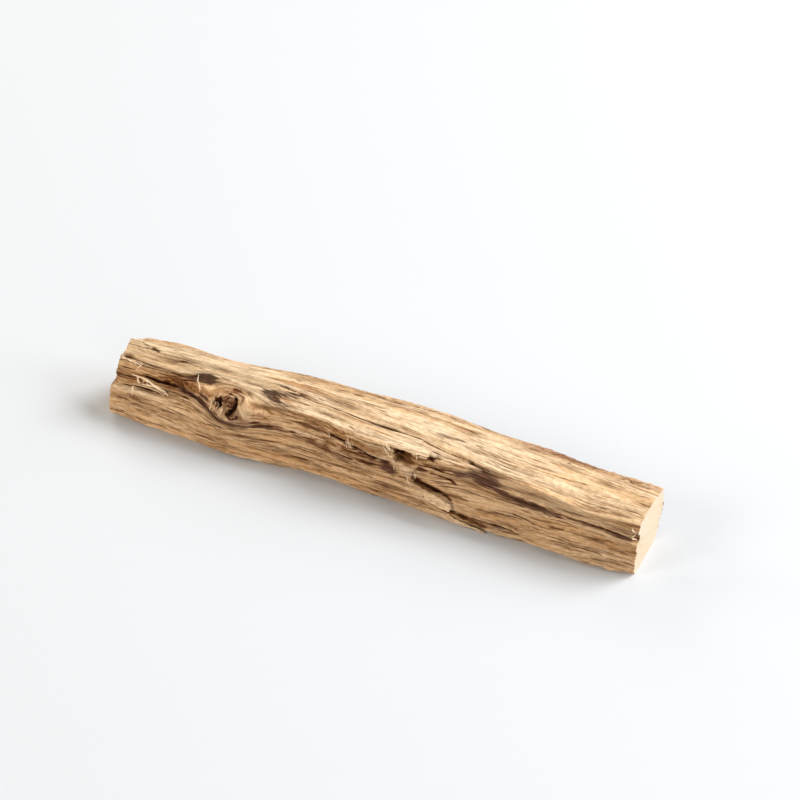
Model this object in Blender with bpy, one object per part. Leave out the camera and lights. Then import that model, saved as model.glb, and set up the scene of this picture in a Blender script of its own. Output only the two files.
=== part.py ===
"""Palo santo stick: one piece of wood, split along its grain and sawn at the ends.

It lies along X on its flat underside, with the clean sawn end at +X. Lengths below are in
millimetres, and the mesh is made in metres. The skin is read in two coordinates: s, along the
stick, and v, round its girth, from the lower front edge up over the top and down the back.
"""

import bpy
import numpy as np

MM = 0.001

# Driving dimensions
LENGTH = 100.0
GIRTH = 45.0
CORNER_SOFTNESS = 0.7
UNDERSIDE = (34.3, 44.2)
MIDDLE_Y = -0.122

# Corners of the split section: where each lies round the girth, and its (y, z) at the stations
STATIONS = np.linspace(-LENGTH / 2, LENGTH / 2, 11)
CORNERS = {
    "bottom_front": (0.0, [(-5.2, 0), (-5.9, 0), (-6.5, 0), (-6.2, 0), (-5.3, 0), (-5.4, 0),
                           (-6.0, 0), (-6.2, 0), (-6.2, 0), (-6.5, 0), (-5.6, 0)]),
    "heel_front": (1.1, [(-6.1, 0.9), (-6.8, 0.9), (-7.5, 0.9), (-7.2, 0.9), (-6.2, 0.9), (-6.4, 0.9),
                         (-7.0, 0.9), (-7.1, 0.9), (-7.1, 0.9), (-7.5, 0.9), (-6.5, 0.8)]),
    "front_low": (3.0, [(-6.4, 2.6), (-7.3, 2.8), (-7.9, 2.8), (-7.6, 2.8), (-6.6, 2.6), (-6.7, 2.6),
                        (-7.2, 2.8), (-7.3, 2.8), (-7.3, 2.8), (-7.6, 2.8), (-6.3, 3.0)]),
    "front_mid": (6.0, [(-5.3, 6.1), (-6.1, 6.2), (-6.5, 5.6), (-6.5, 5.2), (-6.1, 5.0), (-6.2, 4.9),
                        (-6.8, 5.2), (-6.7, 5.4), (-6.6, 5.4), (-7.0, 6.0), (-5.9, 5.6)]),
    "ledge": (8.2, [(-4.0, 6.3), (-4.9, 7.2), (-5.4, 7.4), (-5.4, 6.8), (-4.6, 7.0), (-4.7, 7.0),
                    (-5.3, 7.6), (-5.3, 7.9), (-5.5, 7.8), (-6.2, 8.3), (-5.7, 7.6)]),
    "top_front": (11.5, [(-2.2, 9.9), (-2.6, 10.2), (-3.4, 9.9), (-3.4, 10.2), (-2.9, 10.5), (-4.6, 10.9),
                         (-4.6, 10.6), (-3.9, 10.6), (-3.9, 10.2), (-5.0, 10.0), (-5.1, 10.0)]),
    "crown": (16.5, [(1.6, 12.0), (1.4, 12.2), (1.2, 12.2), (1.2, 12.3), (1.6, 12.2), (1.2, 12.2),
                     (1.0, 11.9), (1.0, 11.6), (0.4, 11.2), (-0.4, 10.9), (-1.6, 10.7)]),
    "top_back": (21.7, [(4.4, 10.9), (4.8, 11.3), (5.0, 11.1), (6.4, 11.0), (6.8, 11.2), (7.0, 11.3),
                        (6.9, 11.4), (6.3, 11.0), (5.9, 10.8), (5.4, 10.5), (6.1, 9.5)]),
    "back": (27.3, [(6.4, 6.0), (6.8, 6.0), (7.2, 6.0), (7.8, 5.8), (8.0, 5.8), (8.0, 5.8),
                    (7.8, 5.8), (7.4, 5.6), (7.2, 5.4), (6.9, 5.2), (6.9, 5.2)]),
    "heel_back": (32.5, [(5.2, 0.9), (5.5, 0.9), (5.8, 0.9), (6.3, 0.9), (6.5, 0.9), (6.5, 0.9),
                         (6.2, 0.9), (5.8, 0.9), (5.4, 0.9), (5.0, 0.9), (4.4, 0.9)]),
    "bottom_back": (33.5, [(4.2, 0), (4.4, 0), (4.7, 0), (5.2, 0), (5.4, 0), (5.4, 0),
                           (5.1, 0), (4.7, 0), (4.2, 0), (3.8, 0), (3.2, 0)]),
}

# The knot and the bark seam that sweeps round its foot, then on along the front
KNOT = (-26.2, 10.3)
MOUND_HEIGHT = 0.9
MOUND_REACH = (4.6, 3.0)
CRATER_DEPTH = 1.3
CRATER_REACH = (2.1, 1.9)
CORE_HEIGHT = 0.7
CORE_REACH = (0.9, 0.8)
SEAM = [(-37, 10.2), (-32, 9.4), (-30.5, 8.6), (-29, 7.7), (-27.5, 7.0), (-25.5, 6.9), (-23, 7.2),
        (-20, 8.3), (-18, 8.6), (-14, 8.5), (-10, 7.8), (-6, 7.3), (0, 6.9), (5, 7.2)]

# Open splits along the grain: route, depth, half width
SPLITS = [
    ([(-49, 10.6), (-45, 10.1), (-39, 9.9), (-35, 10.4)], 0.7, 0.55),
    ([(-50, 12.9), (-47, 12.6), (-39, 12.2), (-33, 13.4)], 0.4, 0.6),
    ([(-14, 9.9), (-7, 9.7), (-2, 9.2), (3, 8.6), (6, 7.6)], 0.6, 0.6),
    ([(20, 9.5), (24, 8.8), (29, 8.4), (35, 8.2), (42, 8.0), (49.5, 7.3)], 0.7, 0.6),
    ([(24, 2.9), (27, 2.7), (31, 2.3)], 0.4, 0.5),
    ([(-42, 25.4), (-20, 24.6), (2, 25.6), (16, 25.0)], 0.6, 0.8),
    ([(-4, 29.2), (14, 28.4), (36, 29.4), (48, 29.0)], 0.6, 0.7),
]

# Torn pockets: centre, depth, half width along and round
POCKETS = [
    ((7.6, 9.9), 1.9, (2.0, 1.4)),
    ((12.7, 11.3), 1.0, (1.1, 0.8)),
    ((32.0, 26.4), 0.6, (6.0, 2.2)),
]

# The peeled flake on the front, proud of the face: the lower and upper edge of each of its tongues
TONGUES = [
    ([(3, 5.6), (10.8, 5.1), (13.7, 4.6), (16.0, 3.7), (18.0, 3.4)],
     [(3, 7.0), (9.5, 6.6), (12.3, 6.1), (14.5, 5.8), (16.5, 5.3), (18.0, 4.7)]),
    ([(3, 0.2), (14.0, 0.2), (20.0, 0.4), (23.9, 0.7)],
     [(3, 5.2), (10.8, 4.7), (13.7, 3.7), (16.0, 2.6), (19.0, 1.9), (23.9, 1.2)]),
]
FLAKE_START = 3.0
FLAKE_FULL = 16.0
FLAKE_HEIGHT = 1.1
TIP_BEVEL = 0.5
GOUGE = [(9.5, 6.9), (12.3, 6.4), (14.5, 6.1), (16.5, 5.6), (18.4, 4.9)]
GOUGE_DEPTH = 0.8
GOUGE_WIDTH = 0.55

# Broken end at -X: how far each band of the girth stops short
BROKEN_END = [(0, 0.0), (6.2, 0.0), (7.4, 0.3), (8.4, 0.5), (9.6, 0.1), (12.6, 0.0), (13.2, 0.7),
              (13.8, 0.1), (17.0, 0.2), (19.5, 1.9), (22.5, 2.4), (26.0, 1.9), (27.0, 0.8),
              (33.5, 0.3), (45.0, 0.0)]
END_FADE = 5.0
END_LAYER = 0.7

# Long low ridges left by the split: height, spacing round the girth, drift along the stick
RIDGES = [(0.16, 3.1, 0.045), (0.10, 2.1, -0.07)]

# Mesh spacing: (from, to, step) along the stick and round the girth
ALONG = [(-50, -36, 1.0), (-36, -20, 0.8), (-20, 4, 1.3), (4, 26, 0.8), (26, 50, 1.4)]
AROUND = [(0, 13.5, 0.9), (13.5, 22.5, 1.3), (22.5, 34.3, 1.5)]
CAP_RINGS = (0.82, 0.55, 0.25)


def smooth_along(values, s):
    """Station values read at s on a smooth curve through them."""
    values = np.asarray(values, float)
    step = STATIONS[1] - STATIONS[0]
    slope = np.gradient(values, step)
    i = np.clip(((s - STATIONS[0]) // step).astype(int), 0, len(STATIONS) - 2)
    t = (s - STATIONS[i]) / step
    ease = t * t * (3 - 2 * t)
    rise = step * t * (1 - t) * (slope[i] * (1 - t) - slope[i + 1] * t)
    return values[i] * (1 - ease) + values[i + 1] * ease + rise


def sharp_section(s, v):
    """(y, z) on the section with sharp corners."""
    places = [place for place, _ in CORNERS.values()] + [GIRTH]
    paths = [path for _, path in CORNERS.values()]
    paths.append(paths[0])
    ys = np.stack([smooth_along([y for y, _ in path], s) for path in paths])
    zs = np.stack([smooth_along([z for _, z in path], s) for path in paths])
    v = v % GIRTH
    i = np.clip(np.searchsorted(places, v, side="right") - 1, 0, len(places) - 2)
    t = (v - np.take(places, i)) / np.take(np.diff(places), i)
    pick = (i, *np.indices(v.shape))
    following = (i + 1, *np.indices(v.shape))
    return ys[pick] * (1 - t) + ys[following] * t, zs[pick] * (1 - t) + zs[following] * t


def section(s, v):
    """(y, z) on the section with its corners rounded by a moving average round the girth."""
    y, z, total = 0.0, 0.0, 0.0
    for offset in (-1, -2 / 3, -1 / 3, 0, 1 / 3, 2 / 3, 1):
        weight = 1.25 - abs(offset)
        one_y, one_z = sharp_section(s, v + offset * CORNER_SOFTNESS)
        y, z, total = y + weight * one_y, z + weight * one_z, total + weight
    return y / total, z / total


def fade(x, start, end):
    """0 at start, 1 at end, smooth between."""
    t = np.clip((x - start) / (end - start), 0, 1)
    return t * t * (3 - 2 * t)


def groove(s, v, route, width, taper=3.0):
    """1 along the middle of a route of (s, v) points, falling to 0 at its sides and ends."""
    along = [point[0] for point in route]
    middle = np.interp(s, along, [point[1] for point in route])
    ends = fade(s, along[0], along[0] + taper) * fade(-s, -along[-1], taper - along[-1])
    return ends * np.exp(-(((v - middle) / width) ** 2))


def mound(s, v, centre, reach, power=2):
    """1 at a centre, falling to 0 over its reach along and round; a high power has steep sides."""
    far = np.hypot((s - centre[0]) / reach[0], (v - centre[1]) / reach[1])
    return np.exp(-(far ** power))


def relief(s, v):
    """How far the skin stands out of the plain section."""
    out = sum(h * np.sin(2 * np.pi * (v / gap + drift * s)) for h, gap, drift in RIDGES)
    out = out + MOUND_HEIGHT * mound(s, v, KNOT, MOUND_REACH)
    out = out - CRATER_DEPTH * mound(s, v, KNOT, CRATER_REACH, 4)
    out = out + CORE_HEIGHT * mound(s, v, KNOT, CORE_REACH)
    out = out - 0.5 * groove(s, v, SEAM, 0.7)
    for route, depth, width in SPLITS:
        out = out - depth * groove(s, v, route, width)
    for centre, depth, reach in POCKETS:
        out = out - depth * mound(s, v, centre, reach, 4)
    lift = FLAKE_HEIGHT * fade(s, FLAKE_START, FLAKE_FULL)
    for lower, upper in TONGUES:
        low = np.interp(s, *zip(*lower))
        high = np.interp(s, *zip(*upper))
        tip = upper[-1][0]
        inside = fade(v, low - 0.2, low + 0.2) * fade(-v, -high - 0.2, 0.2 - high)
        out = out + lift * inside * fade(-s, -tip, TIP_BEVEL - tip)
    out = out - GOUGE_DEPTH * groove(s, v, GOUGE, GOUGE_WIDTH)
    on_skin = fade(v, 0.0, 0.6) * fade(-v, -UNDERSIDE[0], 1.5 - UNDERSIDE[0])
    return out * on_skin


def skin(s, v):
    """Points of the skin at (s, v), in millimetres."""
    y, z = section(s, v)
    step = 0.05
    y_next, z_next = section(s, v + step)
    y_last, z_last = section(s, v - step)
    out_y, out_z = z_last - z_next, y_next - y_last
    size = np.hypot(out_y, out_z)
    high = relief(s, v)
    y = y + high * out_y / size
    z = np.maximum(z + high * out_z / size, 0.0)
    short = np.interp(v, *zip(*BROKEN_END))
    x = s + short * fade(-s, LENGTH / 2 - END_FADE, LENGTH / 2)
    return np.stack([x, y, z], -1)


def spaced(runs):
    """Lines at each run's spacing, with no line twice."""
    lines = [np.linspace(low, high, round((high - low) / step) + 1)[:-1] for low, high, step in runs]
    return np.append(np.concatenate(lines), runs[-1][1])


def end_ring(ring, scale, layered):
    """A smaller copy of an end's outline, on the end face."""
    centre = ring.mean(0)
    inner = centre + (ring - centre) * scale
    if layered:
        layers = np.round(inner[:, 2] / 3.1) % 2
        inner[:, 0] = ring[:, 0] * scale + centre[0] * (1 - scale) + END_LAYER * layers * (1 - scale)
    return inner


def build_mesh():
    """The closed skin: rings along the stick, a broken end at -X and a flat sawn end at +X."""
    along = spaced(ALONG)
    around = np.append(spaced(AROUND), UNDERSIDE[1])
    s, v = np.meshgrid(along, around, indexing="ij")
    rings = skin(s, v)
    count = len(around)
    caps = [end_ring(rings[0], scale, True) for scale in CAP_RINGS]
    tip = caps[-1].mean(0)
    layers = caps[::-1] + list(rings)
    points = np.vstack([tip[None]] + layers)
    faces = [(0, 1 + k, 1 + (k + 1) % count) for k in range(count)]
    for ring in range(len(layers) - 1):
        here = 1 + ring * count
        there = here + count
        for k in range(count):
            after = (k + 1) % count
            faces.append((here + k, there + k, there + after, here + after))
    last = 1 + (len(layers) - 1) * count
    faces.append(tuple(last + k for k in reversed(range(count))))
    return (points - [0, MIDDLE_Y, 0]) * MM, faces


def wood_material():
    material = bpy.data.materials.new("palo_santo_wood")
    material.use_nodes = True
    shader = material.node_tree.nodes["Principled BSDF"]
    shader.inputs["Base Color"].default_value = (0.56, 0.36, 0.19, 1.0)
    shader.inputs["Roughness"].default_value = 0.75
    shader.inputs["Metallic"].default_value = 0.0
    return material


for old in list(bpy.data.objects):
    bpy.data.objects.remove(old, do_unlink=True)

points, faces = build_mesh()
mesh = bpy.data.meshes.new("stick")
mesh.from_pydata([tuple(point) for point in points], [], faces)
mesh.materials.append(wood_material())
mesh.validate()
stick = bpy.data.objects.new("stick", mesh)
bpy.context.scene.collection.objects.link(stick)
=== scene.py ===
import math
import random

import bpy
import numpy as np
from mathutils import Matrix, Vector, noise


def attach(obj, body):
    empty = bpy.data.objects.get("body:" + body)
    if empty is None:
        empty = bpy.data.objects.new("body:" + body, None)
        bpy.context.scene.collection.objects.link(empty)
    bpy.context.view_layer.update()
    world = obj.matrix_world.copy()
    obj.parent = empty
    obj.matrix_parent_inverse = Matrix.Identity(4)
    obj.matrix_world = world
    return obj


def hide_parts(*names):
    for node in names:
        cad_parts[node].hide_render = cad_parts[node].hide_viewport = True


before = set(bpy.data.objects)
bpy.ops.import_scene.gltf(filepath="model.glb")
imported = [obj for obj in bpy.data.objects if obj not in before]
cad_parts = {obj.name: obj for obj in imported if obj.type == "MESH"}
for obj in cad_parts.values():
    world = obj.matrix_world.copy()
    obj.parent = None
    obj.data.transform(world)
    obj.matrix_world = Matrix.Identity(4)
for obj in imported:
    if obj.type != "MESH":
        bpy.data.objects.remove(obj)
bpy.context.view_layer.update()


# The stick. One piece of palo santo, split along its grain, so its skin is long torn fibre.
# It lies on a flat split face, with the clean sawn end at +X. Lengths are in millimetres, and
# the skin is read by s, along the stick, and v, round its girth from the lower front edge.
MM = 0.001
LENGTH = 100.0
END = LENGTH / 2
GIRTH = 45.0
CORNER_SOFTNESS = [(-50, 0.2), (-37, 0.25), (-30, 0.42), (-22, 0.42), (-17, 0.25), (50, 0.18)]
UNDERSIDE_START = 34.3
MIDDLE_Y = -0.122
WIDEST_Y = 8.25
HIGHEST_Z = 12.33
STATIONS = np.linspace(-END, END, 11)
CORNERS = {
    "bottom_front": (0.0, [(-5.2, 0), (-5.9, 0), (-6.5, 0), (-6.2, 0), (-5.3, 0), (-5.4, 0),
                           (-6.0, 0), (-6.2, 0), (-6.2, 0), (-6.5, 0), (-5.6, 0)]),
    "heel_front": (1.1, [(-6.1, 0.9), (-6.8, 0.9), (-7.5, 0.9), (-7.2, 0.9), (-6.2, 0.9), (-6.4, 0.9),
                         (-7.0, 0.9), (-7.1, 0.9), (-7.1, 0.9), (-7.5, 0.9), (-6.5, 0.8)]),
    "front_low": (3.0, [(-6.4, 2.6), (-7.3, 2.8), (-7.9, 2.8), (-7.6, 2.8), (-6.6, 2.6), (-6.7, 2.6),
                        (-7.2, 2.8), (-7.3, 2.8), (-7.3, 2.8), (-7.6, 2.8), (-6.3, 3.0)]),
    "front_mid": (6.0, [(-5.3, 6.1), (-6.1, 6.2), (-6.5, 5.6), (-6.5, 5.2), (-6.1, 5.0), (-6.2, 4.9),
                        (-6.8, 5.2), (-6.7, 5.4), (-6.6, 5.4), (-7.0, 6.0), (-5.9, 5.6)]),
    "ledge": (8.2, [(-4.0, 6.3), (-4.9, 7.2), (-5.4, 7.4), (-5.4, 6.8), (-4.6, 7.0), (-4.7, 7.0),
                    (-5.3, 7.6), (-5.3, 7.9), (-5.5, 7.8), (-6.2, 8.3), (-5.7, 7.6)]),
    "top_front": (11.5, [(-2.2, 9.9), (-2.6, 10.2), (-3.4, 9.9), (-3.4, 10.2), (-2.9, 10.5), (-4.6, 10.9),
                         (-4.6, 10.6), (-3.9, 10.6), (-3.9, 10.2), (-5.0, 10.0), (-5.1, 10.0)]),
    "crown": (16.5, [(1.6, 12.0), (1.4, 12.2), (1.2, 12.2), (1.2, 12.3), (1.6, 12.2), (1.2, 12.2),
                     (1.0, 11.9), (1.0, 11.6), (0.4, 11.2), (-0.4, 10.9), (-1.6, 10.7)]),
    "top_back": (21.7, [(4.4, 10.9), (4.8, 11.3), (5.0, 11.1), (6.4, 11.0), (6.8, 11.2), (7.0, 11.3),
                        (6.9, 11.4), (6.3, 11.0), (5.9, 10.8), (5.4, 10.5), (6.1, 9.5)]),
    "back": (27.3, [(6.4, 6.0), (6.8, 6.0), (7.2, 6.0), (7.8, 5.8), (8.0, 5.8), (8.0, 5.8),
                    (7.8, 5.8), (7.4, 5.6), (7.2, 5.4), (6.9, 5.2), (6.9, 5.2)]),
    "heel_back": (32.5, [(5.2, 0.9), (5.5, 0.9), (5.8, 0.9), (6.3, 0.9), (6.5, 0.9), (6.5, 0.9),
                         (6.2, 0.9), (5.8, 0.9), (5.4, 0.9), (5.0, 0.9), (4.4, 0.9)]),
    "bottom_back": (33.5, [(4.2, 0), (4.4, 0), (4.7, 0), (5.2, 0), (5.4, 0), (5.4, 0),
                           (5.1, 0), (4.7, 0), (4.2, 0), (3.8, 0), (3.2, 0)]),
}

# The knot, and the bark seam that sweeps round its foot
KNOT = (-26.2, 10.3)
SEAM = [(-37, 10.2), (-32, 9.4), (-30.5, 8.6), (-29, 7.7), (-27.5, 7.0), (-25.5, 6.9), (-23, 7.2),
        (-20, 8.3), (-18, 8.6), (-14, 8.5), (-10, 7.8), (-6, 7.3), (0, 6.9), (5, 7.2)]

# The peeled flake: the lower and upper edge of each tongue, as (s, v)
TONGUES = [
    ([(3, 5.6), (10.8, 5.1), (13.7, 4.6), (16.0, 3.7), (17.9, 3.5)],
     [(3, 7.0), (9.5, 6.6), (12.3, 6.0), (14.5, 5.5), (16.5, 4.9), (17.9, 4.2)]),
    ([(3, 0.2), (14.0, 0.2), (20.0, 0.3), (23.6, 0.5)],
     [(3, 5.2), (10.8, 4.7), (13.7, 3.6), (16.0, 2.4), (18.3, 1.75), (20.6, 1.25), (23.6, 0.7)]),
]

# A fainter dark line beside the seam: where it lies above the seam, as (s, gap round the girth)
SECOND_SEAM = [(-31, 0.4), (-29, 0.8), (-26.5, 0.3), (-23, -0.4), (-20, -0.4)]

# Grain lines: how the fibres run, as (s, v) routes, each with the place round the girth it has
# where the grain is straight. They part round the knot and close again behind it.
GRAIN = [
    (0.0, [(-50, 0.0), (50, 0.0)]),
    (3.5, [(-50, 4.2), (-36, 3.8), (-28, 3.3), (-20, 3.5), (0, 3.3), (10, 3.3), (24, 2.9), (34, 3.0),
           (41, 3.6), (46, 2.9), (50, 2.2)]),
    (6.0, [(-50, 5.6), (-38, 5.6), (-32, 5.3), (-27, 4.9), (-21, 5.6), (-15, 6.4), (-5, 5.9), (5, 5.8),
           (14, 5.5), (20, 5.7), (28, 6.3), (34, 5.7), (42, 5.9), (50, 5.4)]),
    (8.6, [(-50, 8.8), (-42, 8.8), (-36, 9.2), (-33, 9.0), (-31, 8.3), (-29, 7.4), (-27, 6.7), (-25, 6.6),
           (-23, 6.9), (-20, 7.9), (-17, 8.2), (-12, 8.0), (-6, 7.3), (0, 6.8), (8, 7.2), (20, 8.0),
           (30, 8.0), (40, 7.8), (50, 7.2)]),
    (9.8, [(-50, 9.9), (-42, 9.9), (-36, 10.1), (-33, 9.8), (-31, 9.1), (-29.5, 8.3), (-27.5, 7.6),
           (-25.5, 7.4), (-23.5, 7.7), (-20.5, 8.8), (-17, 9.4), (-12, 9.3), (-6, 9.0), (0, 8.7),
           (8, 8.6), (20, 9.2), (28, 8.8), (40, 8.4), (50, 7.9)]),
    (10.7, [(-50, 10.6), (-42, 10.9), (-37, 11.4), (-33, 12.4), (-30, 13.2), (-27, 13.4), (-24, 13.1),
            (-21, 12.1), (-18, 11.1), (-12, 10.6), (-6, 10.2), (8, 10.0), (20, 10.2), (25, 9.8),
            (40, 9.6), (50, 9.4)]),
    (12.6, [(-50, 12.6), (-42, 12.4), (-36, 13.6), (-32, 14.6), (-26, 14.6), (-20, 13.6), (-14, 12.7),
            (-6, 12.5), (4, 12.5), (10, 12.5), (15, 11.9), (20, 11.0), (25, 10.4), (50, 10.3)]),
    (14.4, [(-50, 14.0), (-42, 14.1), (-38, 14.8), (-33, 15.3), (-26, 15.6), (-19, 15.9), (-15, 15.5),
            (-11, 14.5), (-5, 14.4), (5, 14.4), (10, 14.1), (15, 13.2), (20, 12.2), (25, 11.4), (50, 11.3)]),
    (16.6, [(-50, 16.4), (-38, 16.2), (-28, 16.6), (-20, 17.2), (-14, 17.4), (-8, 16.4), (0, 16.7),
            (8, 16.5), (16, 16.2), (24, 15.4), (30, 15.7), (38, 16.5), (44, 17.0), (50, 17.3)]),
    (20.0, [(-50, 20.0), (-30, 20.4), (-10, 19.7), (0, 19.9), (10, 20.6), (20, 20.3), (50, 20.0)]),
    (27.0, [(-50, 26.2), (-20, 27.4), (5, 26.4), (30, 27.6), (50, 27.0)]),
    (34.0, [(-50, 34.0), (50, 34.0)]),
    (45.0, [(-50, 45.0), (50, 45.0)]),
]
GRAIN_STEP = 0.25
GRAIN_SOFTENING = 6
KNOT_RINGS = 0.25
KNOT_ROUND = 2.8
KNOT_OVAL = 0.72
NOISE_GAIN = 1.6

# Mesh spacing: (from, to, step) along the stick and round the girth
ALONG = [(-50, -46, 0.22), (-46, -20, 0.29), (-20, 3, 0.36), (3, 14, 0.16), (14, 26, 0.29), (26, 50, 0.37)]
AROUND = [(0, 12.5, 0.098), (12.5, 22.4, 0.13), (22.4, 34.3, 0.3)]
BOTTOM_AROUND = [36.3, 38.3, 40.3, 42.3, 44.2, 44.5, 44.75]
CAP_RINGS = 10


def smooth_along(values, s):
    """Station values read at s on a smooth curve through them."""
    values = np.asarray(values, float)
    step = STATIONS[1] - STATIONS[0]
    slope = np.gradient(values, step)
    i = np.clip(((s - STATIONS[0]) // step).astype(int), 0, len(STATIONS) - 2)
    t = (s - STATIONS[i]) / step
    ease = t * t * (3 - 2 * t)
    rise = step * t * (1 - t) * (slope[i] * (1 - t) - slope[i + 1] * t)
    return values[i] * (1 - ease) + values[i + 1] * ease + rise


def sharp_section(s, v):
    """(y, z) on the section with sharp corners."""
    places = [place for place, _ in CORNERS.values()] + [GIRTH]
    paths = [path for _, path in CORNERS.values()]
    paths.append(paths[0])
    ys = np.stack([smooth_along([y for y, _ in path], s) for path in paths])
    zs = np.stack([smooth_along([z for _, z in path], s) for path in paths])
    v = v % GIRTH
    i = np.clip(np.searchsorted(places, v, side="right") - 1, 0, len(places) - 2)
    t = (v - np.take(places, i)) / np.take(np.diff(places), i)
    pick = (i, *np.indices(v.shape))
    following = (i + 1, *np.indices(v.shape))
    return ys[pick] * (1 - t) + ys[following] * t, zs[pick] * (1 - t) + zs[following] * t


def section(s, v):
    """(y, z) on the section with its corners rounded by a moving average round the girth."""
    y, z, total = 0.0, 0.0, 0.0
    softness = np.interp(s, *zip(*CORNER_SOFTNESS))
    for offset in (-1, -2 / 3, -1 / 3, 0, 1 / 3, 2 / 3, 1):
        weight = 1.25 - abs(offset)
        one_y, one_z = sharp_section(s, v + offset * softness)
        y, z, total = y + weight * one_y, z + weight * one_z, total + weight
    return y / total, z / total


def fade(x, start, end):
    """0 at start, 1 at end, smooth between."""
    t = np.clip((x - start) / (end - start), 0, 1)
    return t * t * (3 - 2 * t)


def away(s, v, route, width, taper=1.0):
    """1 on a route of (s, v) points, falling evenly to 0 at twice its half width and at its ends."""
    along = [point[0] for point in route]
    middle = np.interp(s, along, [point[1] for point in route])
    ends = np.clip((s - along[0]) / taper + 0.5, 0, 1) * np.clip((along[-1] - s) / taper + 0.5, 0, 1)
    return ends * np.clip(1 - np.abs(v - middle) / (2 * width), 0, 1)


def groove(s, v, route, width, taper=3.0):
    """1 along the middle of a route of (s, v) points, falling to 0 at its sides and ends."""
    along = [point[0] for point in route]
    middle = np.interp(s, along, [point[1] for point in route])
    ends = fade(s, along[0], along[0] + taper) * fade(-s, -along[-1], taper - along[-1])
    return ends * np.exp(-(((v - middle) / width) ** 2))


def mound(s, v, centre, reach, power=2):
    """1 at a centre, falling to 0 over its reach along and round; a high power has steep sides."""
    far = np.hypot((s - centre[0]) / reach[0], (v - centre[1]) / reach[1])
    return np.exp(-(far ** power))


def rough(a, b, layer):
    """Smooth noise from about -1 to 1 at each pair of a and b."""
    flat = [noise.noise((x, y, layer)) for x, y in zip(a.ravel().tolist(), b.ravel().tolist())]
    return np.reshape(flat, a.shape) * NOISE_GAIN


def grain_place(s, v):
    """Which fibre each point is on: its place round the girth, followed along the grain lines."""
    fine = np.arange(-END, END + 0.01, GRAIN_STEP)
    window = np.hanning(2 * GRAIN_SOFTENING + 1)
    tables = []
    for _, route in GRAIN:
        table = np.interp(fine, *zip(*route))
        padded = np.pad(table, GRAIN_SOFTENING, mode="edge")
        tables.append(np.convolve(padded, window / window.sum(), mode="valid"))
    labels = [label for label, _ in GRAIN]
    rows = np.stack([np.interp(s[:, 0], fine, table) for table in tables], 1)
    grain = np.stack([np.interp(v[i], rows[i], labels) for i in range(len(s))])
    far = np.hypot((s - KNOT[0]) * KNOT_OVAL, v - KNOT[1])
    return grain + KNOT_RINGS * (np.minimum(far, KNOT_ROUND) - KNOT_ROUND)


# Long ridges and splits: route as (s, v), depth, half width
RIDGES = [(0.16, 3.1, 0.045), (0.10, 2.1, -0.07)]
SPLITS = [
    ([(-44.6, 10.2), (-42, 10.0), (-39, 9.9), (-35, 10.4)], 0.4, 0.3),
    ([(-50, 12.9), (-47, 12.6), (-39, 12.2), (-33, 13.4)], 0.3, 0.5),
    ([(-14, 9.9), (-7, 9.7), (-2, 9.2), (3, 8.6), (6, 7.6)], 0.5, 0.4),
    ([(20, 9.5), (24, 8.8), (29, 8.4), (35, 8.2), (42, 8.0), (49.9, 7.4)], 0.18, 0.5),
    ([(24, 2.9), (27, 2.7), (31, 2.3)], 0.35, 0.35),
    ([(-42, 25.4), (-20, 24.6), (2, 25.6), (16, 25.0)], 0.3, 0.5),
    ([(-4, 29.2), (14, 28.4), (36, 29.4), (48, 29.0)], 0.35, 0.5),
]
GOUGE = [(9.3, 6.9), (12.3, 6.4), (14.5, 6.1), (16.5, 5.4), (18.4, 4.6)]

# Torn pockets: (s, v) of the deep left wall, length to where the floor comes up, half height, depth
POCKETS = [((6.0, 10.1), 3.6, 1.15, 1.7), ((9.3, 10.75), 2.6, 0.65, 0.45), ((11.8, 11.4), 2.4, 0.8, 1.3)]


def strips(s, grain, along, across, layer, count):
    """Sawtooth strips along the grain, as split wood leaves them, and each strip's number."""
    t = count * rough(s * along, grain * across, layer)
    number = np.floor(t)
    return number + fade(t - number, 0.38, 0.62) - t, number


def scatter(number, seed):
    """A steady random value from 0 to 1 for each number."""
    return np.modf(np.abs(np.sin(number * 12.9898 + seed)) * 43758.5453)[0]


def pocket_shape(s, v, grain, pocket):
    """1 at a pocket's left wall, falling along its floor; its walls are ragged."""
    (start, middle), length, half, _ = pocket
    ragged = 0.35 * rough(0 * s + start, grain * 4.0, 5.0)
    floor = np.clip(1 - (s - start + ragged) / length, 0, 1) ** 0.8
    floor = floor * fade(s + ragged, start - 0.2, start + 0.2)
    wall = 0.18 * rough(s * 1.7, 0 * v, start)
    return floor * fade(-np.abs(v - middle + wall), -half - 0.18, 0.18 - half)


def blot(s, v, centre, reach, lean):
    """A soft mark, 1 at its centre, that leans by lean round the girth for each mm along."""
    ds = s - centre[0]
    return np.exp(-((ds / reach[0]) ** 2 + ((v - centre[1] - lean * ds) / reach[1]) ** 2) ** 1.2)


# The knot's cracks as arcs: centre (s, v), radius, from and to in degrees from +s towards the
# top, half width, depth and darkness
ARCS = [
    ((-26.1, 10.45), 1.3, -80, 55, 0.22, 0.8, 1.0), ((-26.3, 10.3), 1.8, 158, 212, 0.3, 1.1, 1.0),
    ((-26.1, 10.5), 1.35, 60, 150, 0.1, 0.2, 0.75), ((-26.2, 10.4), 2.6, 165, 190, 0.24, 0.4, 0.9),
    ((-25.35, 9.0), 1.05, 180, 355, 0.1, 0.25, 0.8), ((-26.0, 10.6), 0.75, 100, 340, 0.08, 0.15, 0.6),
    ((-26.2, 9.6), 1.0, 260, 330, 0.16, 0.4, 0.9), ((-26.0, 10.9), 0.5, 10, 90, 0.07, 0.1, 0.6),
    ((-24.9, 11.2), 1.5, 0, 100, 0.09, 0.06, 0.4), ((-24.6, 11.2), 0.9, -60, 60, 0.08, 0.06, 0.5),
    ((-26.2, 10.4), 2.9, 60, 130, 0.1, 0.08, 0.4),
]


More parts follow.
